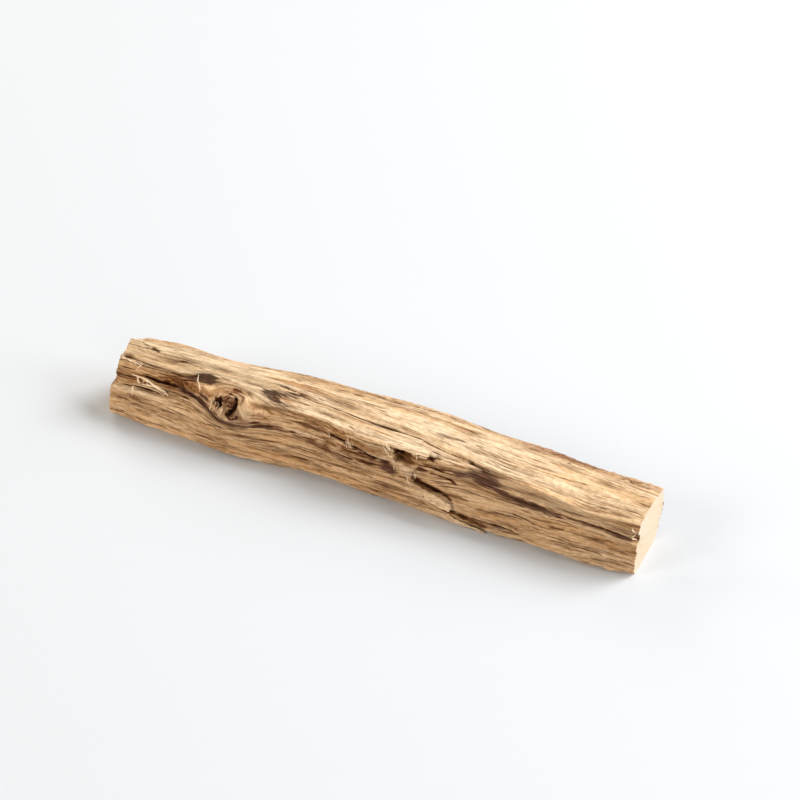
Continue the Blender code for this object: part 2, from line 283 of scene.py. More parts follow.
def arc(s, v, one):
    """1 on an arc, falling to 0 at twice its half width and at its ends."""
    (s_mid, v_mid), radius, start, end, width, _, _ = one
    turn = np.degrees(np.arctan2(v - v_mid, s - s_mid)) - start
    turn = (turn + 180 - (end - start) / 2) % 360 - 180 + (end - start) / 2
    ends = np.clip(turn / 15 + 0.5, 0, 1) * np.clip((end - start - turn) / 15 + 0.5, 0, 1)
    far = np.hypot(s - s_mid, v - v_mid) + 0.12 * rough(s * 1.6, v * 1.6, 21.0)
    return ends * np.clip(1.2 - np.abs(far - radius) / (2 * width), 0, 1)


# Heights and depths of the big forms in mm, with their places and reaches as (s, v)
KNOT_RISE = 0.9
KNOT_REACH = (4.6, 3.0)
SHOULDER = (-22.6, 10.0)
SHOULDER_RISE = 0.3
SHOULDER_REACH = (1.7, 2.0)
CORE = (-26.1, 10.5)
CORE_REACH = (1.25, 1.35)
SEAM_DEPTH = 0.32
SEAM_WIDTH = 0.4
TORN_RISE = 0.3
SCOOP = (32.0, 26.4)
SCOOP_DEPTH = 0.6
SCOOP_REACH = (6.0, 2.2)
GOUGE_DEPTH = 0.7
GOUGE_WIDTH = 0.65
UNDERCUT = 0.3
CHIP_PLACE = 8.1
CHIP_DEPTH = 0.9


def form_relief(s, v, grain):
    """How far the skin stands out of the plain section: the big forms, then strips and fibres."""
    out = sum(h * np.sin(2 * np.pi * (v / gap + drift * s)) for h, gap, drift in RIDGES)
    out = out * fade(s, -END, -44) * (1 - 0.4 * fade(v, 11, 13))
    out = out + KNOT_RISE * mound(s, v, KNOT, KNOT_REACH)
    out = out + SHOULDER_RISE * mound(s, v, SHOULDER, SHOULDER_REACH)
    out = out - SEAM_DEPTH * groove(s, v, SEAM, SEAM_WIDTH) * (1 - 0.7 * fade(s, -20, -12))
    for route, depth, width in SPLITS:
        out = out - depth * groove(s, v, route, 0.7 * width)
    ragged = 0.5 * rough(0 * s + 3.1, grain * 4.3, 5.0)
    torn_layer = fade(s, -14, -2) * fade(-s + ragged, -4.9, -4.5) * fade(v, 8.9, 9.3) * fade(-v, -12.3, -11.5)
    out = out + TORN_RISE * torn_layer
    for pocket in POCKETS:
        out = out - pocket[3] * pocket_shape(s, v, grain, pocket)
    out = out - SCOOP_DEPTH * mound(s, v, SCOOP, SCOOP_REACH, 4)
    out = out - GOUGE_DEPTH * groove(s, v, GOUGE, GOUGE_WIDTH, 1.5)
    for lower, upper in TONGUES:
        low, high = np.interp(s, *zip(*lower)), np.interp(s, *zip(*upper))
        under = fade(v, low, low + 0.2) * fade(-v, -high - 0.3, -high) * fade(s, 8, 12)
        out = out - UNDERCUT * under * fade(-s, -upper[-1][0] - 0.5, 1.0 - upper[-1][0])
    # the knot: cracks round a crumbling core
    for one in ARCS:
        out = out - one[5] * arc(s, v, one)
    core = mound(s, v, CORE, CORE_REACH, 4)
    out = out + core * (0.16 * rough(s * 1.9, v * 1.9, 22.0) + 0.12 * rough(s * 5.0, v * 5.0, 25.0) - 0.2)
    out = out + 0.2 * mound(s, v, (-25.35, 9.0), (1.0, 0.9), 4)
    # crumbled bark between the left end and the knot
    out = out + blot(s, v, (-35.5, 10.0), (4.6, 1.7), 0.0) * 0.24 * rough(s * 1.3, grain * 3.6, 24.0)
    # the corner of the sawn end is chipped at the long groove
    out = out - CHIP_DEPTH * fade(s, 48.9, 49.5) * fade(-np.abs(v - CHIP_PLACE), -1.1, -0.6)
    return out


# Marks that show on the skin, most of them cracks and dark lines and a few painted shade, noted where they
# stand: route as (s, v), half width, depth of the groove, darkness
STREAKS = [
    ([(-44.8, 15.85), (-43.9, 15.75), (-42.8, 15.6)], 0.3, 0.25, 1.0),
    ([(-50, 15.6), (-46, 15.55), (-44, 15.8)], 0.1, 0.08, 0.5),
    ([(-49.9, 16.7), (-47.2, 16.5), (-44.7, 15.8)], 0.11, 0.08, 0.8),
    ([(-38.4, 15.0), (-37.4, 15.1), (-36.4, 15.1)], 0.14, 0.1, 0.85),
    # painted shade under the chipped lip at the left end
    ([(-49.5, 12.6), (-48.4, 12.6), (-47.3, 12.8)], 0.34, 0.4, 0.45),
    ([(-47.3, 12.5), (-45, 12.3), (-42, 12.4), (-39.2, 12.5)], 0.1, 0.1, 0.5),
    ([(-39.2, 12.0), (-36.5, 12.3), (-34.5, 12.9)], 0.22, 0.15, 0.8),
    ([(-46.2, 11.5), (-44, 11.6), (-42.3, 11.8), (-39.4, 12.0)], 0.13, 0.2, 0.75),
    ([(-42, 11.3), (-39, 11.2), (-36.5, 11.5), (-34.9, 11.8)], 0.1, 0.15, 0.6),
    ([(-49.6, 10.5), (-47.5, 10.6), (-45.6, 10.6)], 0.1, 0.15, 0.7),
    ([(-43.9, 10.2), (-42, 10.0), (-40.5, 10.0), (-38.8, 10.1)], 0.17, 0.45, 1.0),
    ([(-45, 10.5), (-41, 10.4), (-38, 10.4), (-35, 10.1)], 0.1, 0.1, 0.6),
    ([(-44.8, 9.35), (-42, 9.15), (-40, 9.05)], 0.09, 0.2, 0.8),
    ([(-50, 9.3), (-47.5, 9.4), (-46, 9.6)], 0.1, 0.15, 0.7),
    ([(-49.8, 7.8), (-47, 8.1), (-44.6, 8.4), (-42.3, 8.4), (-40, 8.3), (-38.2, 7.8)], 0.15, 0.35, 0.65),
    ([(-40, 14.3), (-38, 14.8), (-35.5, 15.0), (-33, 14.7), (-30, 14.6)], 0.11, 0.08, 0.6),
    ([(-35.6, 9.0), (-34.8, 8.95), (-34, 8.8)], 0.17, 0.15, 0.95),
    ([(-34.0, 6.9), (-33.2, 6.7)], 0.16, 0.12, 0.8),
    ([(-50, 3.85), (-46, 3.9)], 0.09, 0.06, 0.5),
    ([(-38, 3.9), (-34, 3.75), (-31.5, 3.4)], 0.1, 0.06, 0.5),
    ([(-32, 5.7), (-30, 5.45), (-28, 5.7), (-26.7, 5.9)], 0.12, 0.1, 0.65),
    ([(-31, 5.0), (-29, 4.85), (-27.5, 5.3)], 0.09, 0.05, 0.45),
    ([(-22.6, 7.2), (-21.2, 7.9), (-19.6, 8.4), (-18, 8.8)], 0.14, 0.15, 0.5),
    ([(-30, 14.5), (-28.8, 14.4), (-27.6, 14.35)], 0.1, 0.06, 0.7),
    ([(-27.2, 14.25), (-26.6, 14.2), (-25.7, 14.2)], 0.1, 0.06, 0.65),
    ([(-14.4, 8.8), (-13.0, 8.6)], 0.13, 0.12, 0.9),
    ([(-18.9, 15.9), (-17.5, 15.85), (-16.4, 15.6), (-15.2, 15.6)], 0.16, 0.15, 0.85),
    ([(-14.5, 15.1), (-12.5, 14.7), (-11, 14.5), (-9, 14.45), (-5, 14.4), (0, 14.4), (5, 14.45),
      (9, 14.35), (11, 14.0), (13, 13.6), (15, 13.2), (17, 13.0), (18.7, 12.8), (20, 12.2), (22, 11.6),
      (24, 11.0)], 0.1, 0.16, 0.75),
    ([(18.7, 12.65), (19.4, 12.45), (20.1, 12.15)], 0.28, 0.15, 1.0),
    ([(-14.5, 13.9), (-13, 13.6), (-11.2, 13.4)], 0.1, 0.08, 0.75),
    ([(-9, 12.75), (-7, 12.7), (-4.8, 12.7)], 0.09, 0.06, 0.6),
    ([(-4, 12.5), (-2, 12.2)], 0.09, 0.05, 0.5),
    ([(-17.5, 18.9), (-15, 18.3), (-12.5, 17.8)], 0.11, 0.06, 0.6),
    ([(-3.6, 17.85), (-2, 17.6), (0, 17.2), (1, 17.1)], 0.12, 0.06, 0.6),
    ([(-2, 16.6), (1, 16.6), (4, 16.4)], 0.1, 0.06, 0.5),
    ([(-10, 19.7), (-5, 19.5), (0, 19.9), (3.5, 20.0)], 0.16, 0.05, 0.55),
    ([(-11.5, 9.9), (-9, 9.7)], 0.13, 0.12, 0.7),
    # these two paint the shade under the torn layer's lower edge
    ([(-7.2, 9.65), (-5.5, 9.6), (-4, 9.4), (-3.4, 9.35)], 0.26, 0.35, 1.0),
    ([(-2.4, 9.05), (-1, 8.85), (1, 8.65), (3, 8.5), (4.6, 8.4)], 0.42, 0.5, 1.0),
    ([(-4, 7.15), (-2.6, 7.1), (-1.6, 7.1)], 0.14, 0.15, 0.85),
    ([(-19.3, 5.95), (-17, 6.3), (-15, 6.6)], 0.11, 0.1, 0.75),
    ([(-12, 5.9), (-9.5, 5.85)], 0.1, 0.06, 0.6),
    ([(-15.5, 4.35), (-14.6, 4.5)], 0.17, 0.1, 0.85),
    ([(-14, 4.4), (-11, 4.3), (-8, 4.7), (-5, 4.6)], 0.1, 0.08, 0.55),
    ([(-12, 3.6), (-8, 3.5), (-5, 3.3), (-2.5, 3.7)], 0.12, 0.08, 0.55),
    ([(-24, 5.4), (-22.3, 5.65)], 0.1, 0.08, 0.6),
    ([(7, 16.6), (10, 16.5), (13, 16.3), (16, 16.3), (20, 16.0)], 0.1, 0.05, 0.5),
    ([(13, 17.0), (16, 16.75), (18, 16.8)], 0.09, 0.05, 0.45),
    ([(4, 21.0), (10, 20.9), (16, 20.6)], 0.14, 0.05, 0.6),
    ([(11.8, 12.75), (13.5, 12.6), (15, 12.3), (17.2, 12.1)], 0.1, 0.08, 0.65),
    ([(9.9, 8.75), (11, 8.8), (12.5, 8.9)], 0.26, 0.2, 0.75),
    ([(12.3, 8.6), (13.8, 8.5), (15.4, 8.4), (17.8, 7.8)], 0.15, 0.2, 0.85),
    ([(15.9, 11.2), (17.4, 11.1), (18.8, 11.0)], 0.12, 0.06, 0.6),
    ([(10, 9.25), (13, 9.45), (15, 9.2), (17, 9.3)], 0.12, 0.12, 0.75),
    # painted shade in the gouge above the first tongue
    ([(9.8, 6.9), (11, 6.75), (13, 6.5), (14.5, 6.2), (16, 5.6), (17.6, 4.6)], 0.24, 0.1, 0.95),
    ([(10.8, 5.05), (12.5, 4.8), (13.8, 4.4)], 0.18, 0.25, 0.95),
    # painted shade above the second tongue, and just below the first tongue's lower edge
    ([(15.6, 3.0), (17.4, 2.75), (19.4, 2.3), (21.5, 1.8), (24, 1.4)], 0.6, 0.1, 0.72),
    ([(13.7, 4.3), (15.0, 3.5), (16.6, 3.0), (17.8, 2.9)], 0.26, 0.3, 1.0),
    ([(9, 2.9), (11, 2.4), (13, 2.25), (15, 2.1)], 0.16, 0.1, 0.6),
    ([(1.5, 5.05), (3, 4.7), (5, 4.9)], 0.1, 0.08, 0.6),
    ([(24, 8.75), (26, 8.6), (27.7, 8.75)], 0.15, 0.15, 0.8),
    ([(27.4, 8.6), (29, 8.5), (31.4, 8.3), (35.3, 8.1)], 0.12, 0.1, 0.5),
    ([(26, 7.9), (28, 7.8)], 0.12, 0.1, 0.6),
    ([(35, 8.0), (37, 8.1), (39, 8.2), (41, 8.1)], 0.15, 0.12, 0.55),
    ([(41, 8.1), (44, 7.9), (46.5, 7.8)], 0.12, 0.1, 0.45),
    ([(29, 7.0), (31, 7.0), (33, 7.1)], 0.1, 0.1, 0.55),
    ([(34.8, 7.85), (37, 7.75)], 0.12, 0.1, 0.7),
    ([(35, 5.9), (36, 5.95), (37.8, 6.0)], 0.14, 0.15, 0.9),
    ([(38, 5.9), (41, 5.85)], 0.09, 0.08, 0.6),
    ([(28, 6.45), (30, 6.0), (32, 5.65), (33, 5.7)], 0.11, 0.08, 0.65),
    ([(31, 4.8), (33, 4.8), (36, 5.0), (38, 5.1)], 0.1, 0.06, 0.5),
    ([(34, 4.2), (37, 4.1), (42, 4.15), (44, 3.8)], 0.09, 0.06, 0.5),
    ([(36, 3.5), (40, 3.6), (43, 3.5), (45, 3.1), (47, 2.7), (49.5, 2.3)], 0.11, 0.1, 0.65),
    ([(24.4, 2.75), (26.7, 2.85), (29.1, 2.45), (30.2, 2.3)], 0.22, 0.2, 0.95),
    ([(25, 17.3), (26.5, 17.2), (28, 17.1), (29.5, 17.2)], 0.13, 0.06, 0.55),
    ([(27, 15.6), (29, 15.6), (31, 15.7), (33, 15.9), (36, 16.2), (38, 16.5), (39.5, 16.6)], 0.12, 0.06, 0.6),
    ([(40, 17.0), (42, 17.1)], 0.1, 0.05, 0.5),
    ([(30.5, 19.1), (33, 18.3), (34.5, 18.0)], 0.1, 0.05, 0.4),
    ([(41, 13.9), (45, 13.9), (48.5, 13.7)], 0.1, 0.06, 0.4),
    ([(47.3, 17.4), (49.3, 17.3)], 0.1, 0.05, 0.5),
    ([(33.6, 20.0), (34.3, 20.0)], 0.16, 0.05, 0.9),
    ([(36.2, 19.8), (37.8, 19.7)], 0.1, 0.05, 0.7),
    ([(36, 21.0), (39, 20.9)], 0.16, 0.05, 0.7),
]

# Resin stains: centre (s, v), reach along and round, lean, strength
STAINS = [
    ((-32.3, 13.4), (2.2, 1.05), 0.12, 1.35), ((-34.6, 12.5), (1.8, 0.7), 0.1, 0.85),
    ((-19.6, 14.2), (2.2, 0.6), 0.02, 1.2), ((-18.5, 13.1), (2.4, 0.55), -0.28, 0.95),
    ((-16.0, 14.8), (3.4, 0.6), 0.03, 0.7), ((22.2, 10.1), (3.0, 1.35), -0.1, 1.3),
    ((18.3, 9.7), (2.6, 0.7), 0.02, 0.8), ((4.6, 7.6), (2.0, 0.75), -0.22, 0.95),
    ((30.8, 8.25), (6.2, 0.7), -0.05, 1.1), ((21.0, 12.1), (2.4, 0.4), -0.22, 0.85),
    ((25.9, 8.8), (2.8, 0.6), -0.12, 0.9), ((47.4, 7.6), (2.4, 0.5), -0.06, 0.95),
    ((11.2, 8.8), (1.7, 0.5), 0.05, 0.5), ((-33.5, 9.9), (2.6, 0.5), -0.1, 0.6),
    ((-31.0, 10.1), (1.2, 0.5), -0.2, 0.75),
]
# Near-black painted shade in the knot's gap and in two torn pockets: centre (s, v) and reach
BLACKS = [((-27.8, 10.7), (0.5, 0.5)), ((6.5, 10.5), (0.9, 0.75)), ((12.5, 11.5), (0.85, 0.6))]

# Soft brown and grey bands, then bright and amber ones: centre, reach, lean, strength
RINGS = [
    ((-25.0, 12.5), (2.0, 0.6), -0.35, 1.0), ((-23.7, 11.4), (0.35, 0.6), 0.0, 0.8),
    ((-26.2, 10.4), (2.1, 1.9), 0.0, 0.8), ((-25.3, 8.8), (1.1, 0.9), 0.0, 0.6),
    ((-27.6, 12.0), (1.3, 0.6), 0.4, 0.7), ((-29.0, 9.6), (1.4, 0.5), -0.5, 0.7),
    ((-28.2, 11.0), (0.6, 0.5), 0.0, 0.8), ((-23.2, 12.9), (0.9, 0.3), -0.5, 0.7),
    ((43.8, 9.7), (2.6, 0.6), -0.04, 0.5), ((-17.0, 8.6), (4.5, 0.45), 0.0, 0.9),
    ((-8.5, 7.65), (7.5, 0.55), -0.14, 0.9), ((-37.0, 11.6), (3.0, 0.9), 0.03, 0.7),
    ((-38.0, 10.1), (2.0, 0.4), 0.0, 0.8), ((-13.0, 15.4), (3.2, 0.7), -0.08, 0.7),
    ((41.0, 8.0), (5.0, 0.4), -0.03, 0.8), ((-1.0, 8.2), (4.5, 0.5), -0.1, 0.8),
    ((13.0, 9.5), (3.5, 0.5), -0.06, 0.7), ((0.0, 7.1), (2.8, 0.4), 0.05, 0.6),
]
BROWNS = [
    ((-36.5, 10.8), (5.0, 1.7), 0.05, 1.2), ((-30.5, 10.8), (1.8, 1.2), 0.0, 0.8),
    ((-36.5, 12.3), (4.0, 0.6), 0.05, 0.7), ((-42.0, 10.2), (4.5, 0.35), 0.0, 0.8),
    ((-27.4, 12.0), (2.4, 0.8), 0.15, 1.0), ((-25.8, 10.4), (2.6, 2.2), 0.0, 0.6),
    ((-20.0, 10.2), (3.5, 1.2), -0.1, 0.6), ((-42.5, 11.4), (5.0, 0.8), 0.0, 0.45),
    ((-48.6, 13.0), (1.4, 0.5), 0.0, 0.8), ((-47.5, 8.9), (3.5, 0.8), 0.0, 0.4),
    ((-26.3, 12.8), (2.6, 0.6), 0.0, 0.7), ((-7.5, 10.6), (8.0, 0.8), -0.03, 0.6),
    ((-14.0, 11.4), (5.5, 0.8), -0.12, 0.6), ((-17.5, 13.6), (4.0, 1.4), -0.1, 0.5),
    ((-5.0, 8.3), (8.0, 0.9), -0.08, 0.7), ((7.8, 10.0), (2.2, 1.1), -0.2, 1.0),
    ((14.5, 9.8), (4.0, 0.9), 0.0, 0.55), ((-1.5, 10.2), (6.5, 1.1), -0.03, 1.0),
    ((10.9, 10.7), (1.6, 0.6), 0.0, 0.9), ((36.0, 21.2), (6.5, 1.2), -0.02, 0.7),
    ((-16.0, 12.6), (3.0, 0.5), -0.1, 0.6), ((-31.0, 8.9), (2.6, 0.8), -0.5, 0.8),
    ((-8.0, 11.05), (9.0, 0.5), -0.04, 0.8), ((-1.0, 7.3), (4.5, 0.5), 0.0, 0.7),
    ((-46.0, 9.6), (5.0, 1.1), 0.0, 0.6), ((12.0, 2.6), (3.5, 0.5), -0.1, 0.5),
    ((29.0, 3.4), (3.0, 0.6), 0.0, 0.45), ((-6.5, 16.2), (2.6, 0.35), -0.08, 0.5),
    ((0.6, 17.5), (0.9, 0.6), -0.3, 0.35), ((19.0, 2.5), (4.5, 0.8), -0.12, 0.75),
    ((13.0, 6.5), (4.0, 0.4), -0.2, 0.9), ((27.5, 8.6), (6.0, 0.4), -0.05, 0.6),
    ((-4.5, 20.6), (8.5, 1.0), 0.0, 0.55),
]
PALES = [
    ((-45.0, 7.0), (5.5, 0.75), 0.02, 1.0), ((-23.0, 14.7), (3.2, 1.3), -0.05, 0.9),
    ((-48.3, 13.5), (1.7, 0.4), 0.0, 1.0), ((-28.2, 9.5), (0.45, 0.3), 0.0, 1.0),
    ((-27.1, 9.0), (0.5, 0.3), 0.0, 0.9), ((38.0, 9.7), (9.0, 0.9), -0.02, 0.7),
    ((35.0, 11.2), (12.0, 0.28), -0.01, 1.0), ((15.4, 4.4), (2.6, 0.8), -0.3, 0.8),
    ((27.5, 1.9), (3.0, 0.5), 0.0, 0.9), ((-8.0, 12.15), (9.0, 0.4), -0.03, 0.9),
    ((4.5, 12.3), (5.0, 0.5), 0.0, 0.8), ((-45.5, 6.7), (6.5, 0.6), 0.03, 1.0),
    ((-22.3, 12.4), (1.6, 0.9), -0.5, 0.6), ((-12.0, 13.0), (5.0, 0.8), 0.0, 0.5),
    ((-7.0, 18.2), (4.5, 1.2), -0.1, 0.8), ((-15.5, 19.6), (4.0, 0.7), -0.1, 0.6),
    ((4.3, 10.9), (0.8, 1.0), 0.0, 0.7), ((9.6, 11.0), (0.5, 0.3), 0.0, 0.9),
    ((15.0, 15.0), (5.0, 0.7), -0.02, 0.5), ((35.0, 14.6), (7.0, 1.0), 0.05, 0.6),
    ((44.0, 15.5), (5.5, 1.6), 0.05, 0.6), ((16.7, 4.3), (1.2, 0.8), -0.2, 0.9),
    ((-22.8, 9.9), (1.2, 0.8), 0.0, 0.6), ((-26.0, 10.8), (0.4, 0.35), 0.0, 0.9),
    ((26.0, 13.4), (4.0, 0.8), 0.05, 0.5), ((8.6, 7.9), (2.0, 0.6), -0.05, 1.0),
    ((-40.0, 9.0), (2.5, 0.25), -0.15, 0.6), ((-43.0, 17.4), (9.0, 2.0), 0.0, 0.9),
    ((-28.0, 17.8), (7.0, 1.4), 0.0, 0.8), ((-36.9, 7.6), (0.6, 0.35), 0.0, 1.0),
]
AMBERS = [
    ((-16.0, 17.5), (4.5, 0.7), -0.06, 0.9), ((-16.6, 13.6), (1.1, 0.35), -0.2, 0.9),
    ((3.0, 13.3), (3.0, 0.4), -0.03, 0.5), ((14.5, 19.1), (1.6, 0.3), 0.0, 0.6),
    ((8.8, 18.8), (0.5, 0.6), -0.8, 0.6), ((18.0, 11.2), (2.0, 0.35), 0.0, 0.6),
    ((32.0, 11.3), (3.0, 0.35), 0.02, 0.5), ((34.0, 16.1), (5.5, 0.4), 0.08, 0.6),
    ((33.5, 18.3), (2.0, 0.4), -0.2, 0.5), ((46.5, 19.9), (2.5, 0.3), 0.03, 0.6),
    ((-43.5, 20.4), (4.0, 0.8), 0.0, 0.4), ((27.0, 17.4), (3.0, 0.5), 0.0, 0.4),
]


def strongest(layers, shape):
    """The highest of several marks at each point."""
    out = np.zeros(shape)
    for layer in layers:
        out = np.maximum(out, layer)
    return out


def painted(marks, s, v):
    """A table of soft marks at their strengths, the highest at each point."""
    return strongest([power * blot(s, v, at, reach, lean) for at, reach, lean, power in marks], s.shape)


def hollows(relief):
    """How far each point lies below the skin just round it, from the ones beside it on its row."""
    reach = min(9, relief.shape[1] // 2)
    padded = np.pad(relief, ((0, 0), (reach, reach)), mode="edge")
    sums = np.cumsum(padded, axis=1)
    near = (sums[:, 2 * reach:] - sums[:, :-2 * reach]) / (2 * reach) if reach else relief
    return np.clip(near[:, :relief.shape[1]] - relief, 0, None)


def wood_columns(s, v, lift):
    """Places and colour marks of wood at (s, v), standing out by lift, as columns for build."""
    grain = grain_place(s, v)
    relief = form_relief(s, v, grain)
    wide, wide_number = strips(s, grain, 0.028, 0.42, 11.0, 3.2)
    narrow, _ = strips(s, grain, 0.09, 1.5, 12.0, 2.4)
    front = fade(-v, -12.4, -10.8) * (1 - 0.8 * blot(s, v, (-46.0, 7.1), (8.0, 1.1), 0.03))
    split_side = 0.32 + 0.76 * front * (1 - 0.7 * fade(v, 8.6, 9.2) * fade(s, 22, 28))
    split_side = split_side + 0.3 * fade(-s, 30, 44)
    split_side = split_side * (1 - 0.65 * mound(s, v, KNOT, (3.3, 3.0), 4))
    relief = relief + split_side * (0.2 * wide + 0.15 * narrow)
    relief = relief + split_side * (0.06 + 0.03 * front) * rough(s * 0.16, grain * 2.9, 2.0)
    relief = relief + split_side * (0.035 + 0.03 * front) * rough(s * 0.45, grain * 4.6, 3.0)
    for route, width, depth, _ in STREAKS:
        relief = relief - depth * away(s, v, route, width, 2.0) ** 1.5
    rim = fade(v, 20.0, 21.0) * fade(-v, -34.0, -30.0) * (0.3 + 0.7 * fade(s, 22, 30))
    rim = rim + 0.3 * fade(-v, -2.2, -0.6)
    relief = relief + 0.15 * rim * rough(s * 1.1, grain * 2.6, 26.0)
    on_skin = fade(v, 0.0, 0.6) * fade(-v, -UNDERSIDE_START, 1.5 - UNDERSIDE_START)
    relief = (relief - 0.05) * on_skin
    y, z = section(s, v)
    y_next, z_next = section(s, v + 0.05)
    y_last, z_last = section(s, v - 0.05)
    out_y, out_z = z_last - z_next, y_next - y_last
    size = np.hypot(out_y, out_z)
    stand = relief + lift
    y = np.clip(y + stand * out_y / size - MIDDLE_Y, -WIDEST_Y, WIDEST_Y)
    z = np.clip(z + stand * out_z / size, 0.0, HIGHEST_Z)
    short = np.interp(v, *zip(*BROKEN_END)) + 0.3 * scatter(wide_number, 0.4) * fade(v, 0.5, 2)
    x = s + short * fade(-s, END - 4.0, END)

    # Dark cracks and lines, and the painted shade that some streaks, the knot's gap and the torn pockets add
    cracks_and_shade = strongest([dark * away(s, v, route, width) for route, width, _, dark in STREAKS], s.shape)
    cracks_and_shade = np.maximum(cracks_and_shade, strongest([mound(s, v, at, reach, 3) for at, reach in BLACKS], s.shape))
    stain = painted(STAINS, s, v)
    seam_dark = away(s, v, SEAM, 0.36, 3.0) * (1 - 0.8 * fade(s, -25, -18))
    above_seam = np.interp(s, *zip(*SECOND_SEAM))
    second_seam = 0.8 * away(s, v - above_seam, SEAM, 0.15, 3.0)
    stain = np.maximum(stain, np.maximum(seam_dark, second_seam * fade(-s, 20, 26)))
    brown = painted(BROWNS, s, v)
    pale = painted(PALES, s, v)
    amber = painted(AMBERS, s, v)
    worn = fade(v, 20.0, 21.2) * fade(-v, -34.0, -22.0)
    worn = worn * (0.35 + 0.65 * fade(s, 20, 28)) * (1 - 0.55 * fade(s, 36, 42))
    cracks_and_shade = np.maximum(cracks_and_shade, strongest([one[6] * arc(s, v, one) for one in ARCS], s.shape))
    ring = painted(RINGS, s, v)
    # Painted shade: how far each point lies in a groove or hollow, which darkens its colour
    hollow_shade = np.clip(np.maximum(-0.8 * relief, 3.6 * hollows(relief)), 0, 1.5)
    return np.stack([x, y, z, s, grain, stand, cracks_and_shade, stain, brown, pale, amber, worn, front, ring, hollow_shade], -1)


# The broken end at -X stops short by these lengths at these places round the girth
BROKEN_END = [(0, 0.0), (7.7, 0.0), (7.9, 0.75), (8.5, 0.6), (8.9, 0.2), (10.4, 0.1), (11.6, 0.3),
              (12.6, 0.1), (13.1, 0.55), (16.0, 0.6), (17.0, 0.4), (19.5, 1.9), (22.5, 2.4),
              (26.0, 1.9), (27.0, 0.8), (33.5, 0.3), (45.0, 0.0)]
COLUMNS = [("grain_flow", 3), ("dark_marks", 6), ("light_marks", 9), ("places", 12)]


def spaced(runs):
    """Lines at each run's spacing, with no line twice."""
    lines = [np.linspace(low, high, round((high - low) / step) + 1)[:-1] for low, high, step in runs]
    return np.append(np.concatenate(lines), runs[-1][1])


def build(name, tubes):
    """One mesh object of closed tubes, each an array of rings, with their marks as attributes."""
    rows, faces = [], []
    for tube in tubes:
        first = sum(len(row) for row in rows)
        rings, count = tube.shape[:2]
        flat = tube.reshape(-1, tube.shape[2])
        rows += [flat, tube[:1].mean(1), tube[-1:].mean(1)]
        k = np.arange(count)
        after = (k + 1) % count
        for ring in range(rings - 1):
            here, there = first + ring * count, first + (ring + 1) * count
            faces += np.stack([here + k, there + k, there + after, here + after], 1).tolist()
        start, end, last = first + len(flat), first + len(flat) + 1, first + (rings - 1) * count
        faces += np.stack([0 * k + start, first + k, first + after], 1).tolist()
        faces += np.stack([last + k, 0 * k + end, last + after], 1).tolist()
    data = np.vstack(rows)
    mesh = bpy.data.meshes.new(name)
    mesh.from_pydata((data[:, :3] * MM).tolist(), [], faces)
    mesh.polygons.foreach_set("use_smooth", np.ones(len(faces), bool))
    mesh.set_sharp_from_angle(angle=math.radians(50))
    for label, column in COLUMNS:
        made = mesh.attributes.new(label, "FLOAT_VECTOR", "POINT")
        made.data.foreach_set("vector", data[:, column:column + 3].astype(np.float32).ravel())
    piece = bpy.data.objects.new(name, mesh)
    bpy.context.scene.collection.objects.link(piece)
    return piece


def end_rings(outline, steps):
    """Rings from an end's outline in towards its middle; they keep the outline's marks."""
    centre = outline[:, :3].mean(0)
    made = []
    for scale in np.linspace(1, 0, steps + 1)[1:-1]:
        ring = outline.copy()
        ring[:, :3] = centre + (outline[:, :3] - centre) * scale
        made.append((ring, scale))
    return made


s, v = np.meshgrid(spaced(ALONG), np.append(spaced(AROUND), BOTTOM_AROUND), indexing="ij")
skin = wood_columns(s, v, 0.0)
left_rings = end_rings(skin[0], CAP_RINGS)
for ring, scale in left_rings:
    layer_number = np.floor(ring[:, 2] / 0.9 + 0.4 * np.sin(ring[:, 1] * 0.7))
    grit = rough(ring[:, 1] * 2.4, ring[:, 2] * 2.4, 4.0)
    step = 0.75 * scatter(layer_number, 4.0) + 0.14 * grit
    ring[:, 0] = -END + (skin[0][:, 0] + END) * scale + np.clip(step, 0, 2) * (1 - scale ** 4)
right_rings = end_rings(skin[-1], CAP_RINGS)
for ring, _ in right_rings:
    ring[:, 0] = END - 0.02 - 0.03 * np.abs(rough(ring[:, 1] * 1.6, ring[:, 2] * 4.0, 7.0))
layers = [ring for ring, _ in left_rings[::-1]] + list(skin) + [ring for ring, _ in right_rings]
stick = build("stick_wood", [np.stack(layers)])

# The end faces take their own end-grain material
mesh = stick.data
count = s.shape[1]
slots = np.zeros(len(mesh.polygons), np.int32)
slots[: len(left_rings) * count] = 2
slots[(len(left_rings) + len(skin) - 1) * count: (len(layers) - 1) * count] = 1
slots[(len(layers) - 1) * count: len(layers) * count] = 2
slots[len(layers) * count:] = 1
mesh.polygons.foreach_set("material_index", slots)


def place_node(tree, kind, spot, **settings):
    """A shader node at a spot on the sheet, with its settings."""
    node = tree.nodes.new(kind)
    node.location = (spot[0] * 200, spot[1] * -170)
    for name, value in settings.items():
        setattr(node, name, value)
    return node


def colour(code):
    """A colour code as the shader's own linear values."""
    parts_of_code = [int(code[i:i + 2], 16) / 255 for i in (0, 2, 4)]
    return [c / 12.92 if c <= 0.04045 else ((c + 0.055) / 1.055) ** 2.4 for c in parts_of_code] + [1.0]


def wire(tree, source, target):
    """Feeds a socket from another one, or sets it to a number or a colour code."""
    if isinstance(source, str):
        target.default_value = colour(source)
    elif isinstance(source, (int, float)):
        target.default_value = source
    else:
        tree.links.new(source, target)


def calc(tree, spot, operation, *sources, clamp=False):
    """A math node on sockets or numbers; returns its result."""
    node = place_node(tree, "ShaderNodeMath", spot, operation=operation, use_clamp=clamp)
    for source, target in zip(sources, node.inputs):
        wire(tree, source, target)
    return node.outputs[0]


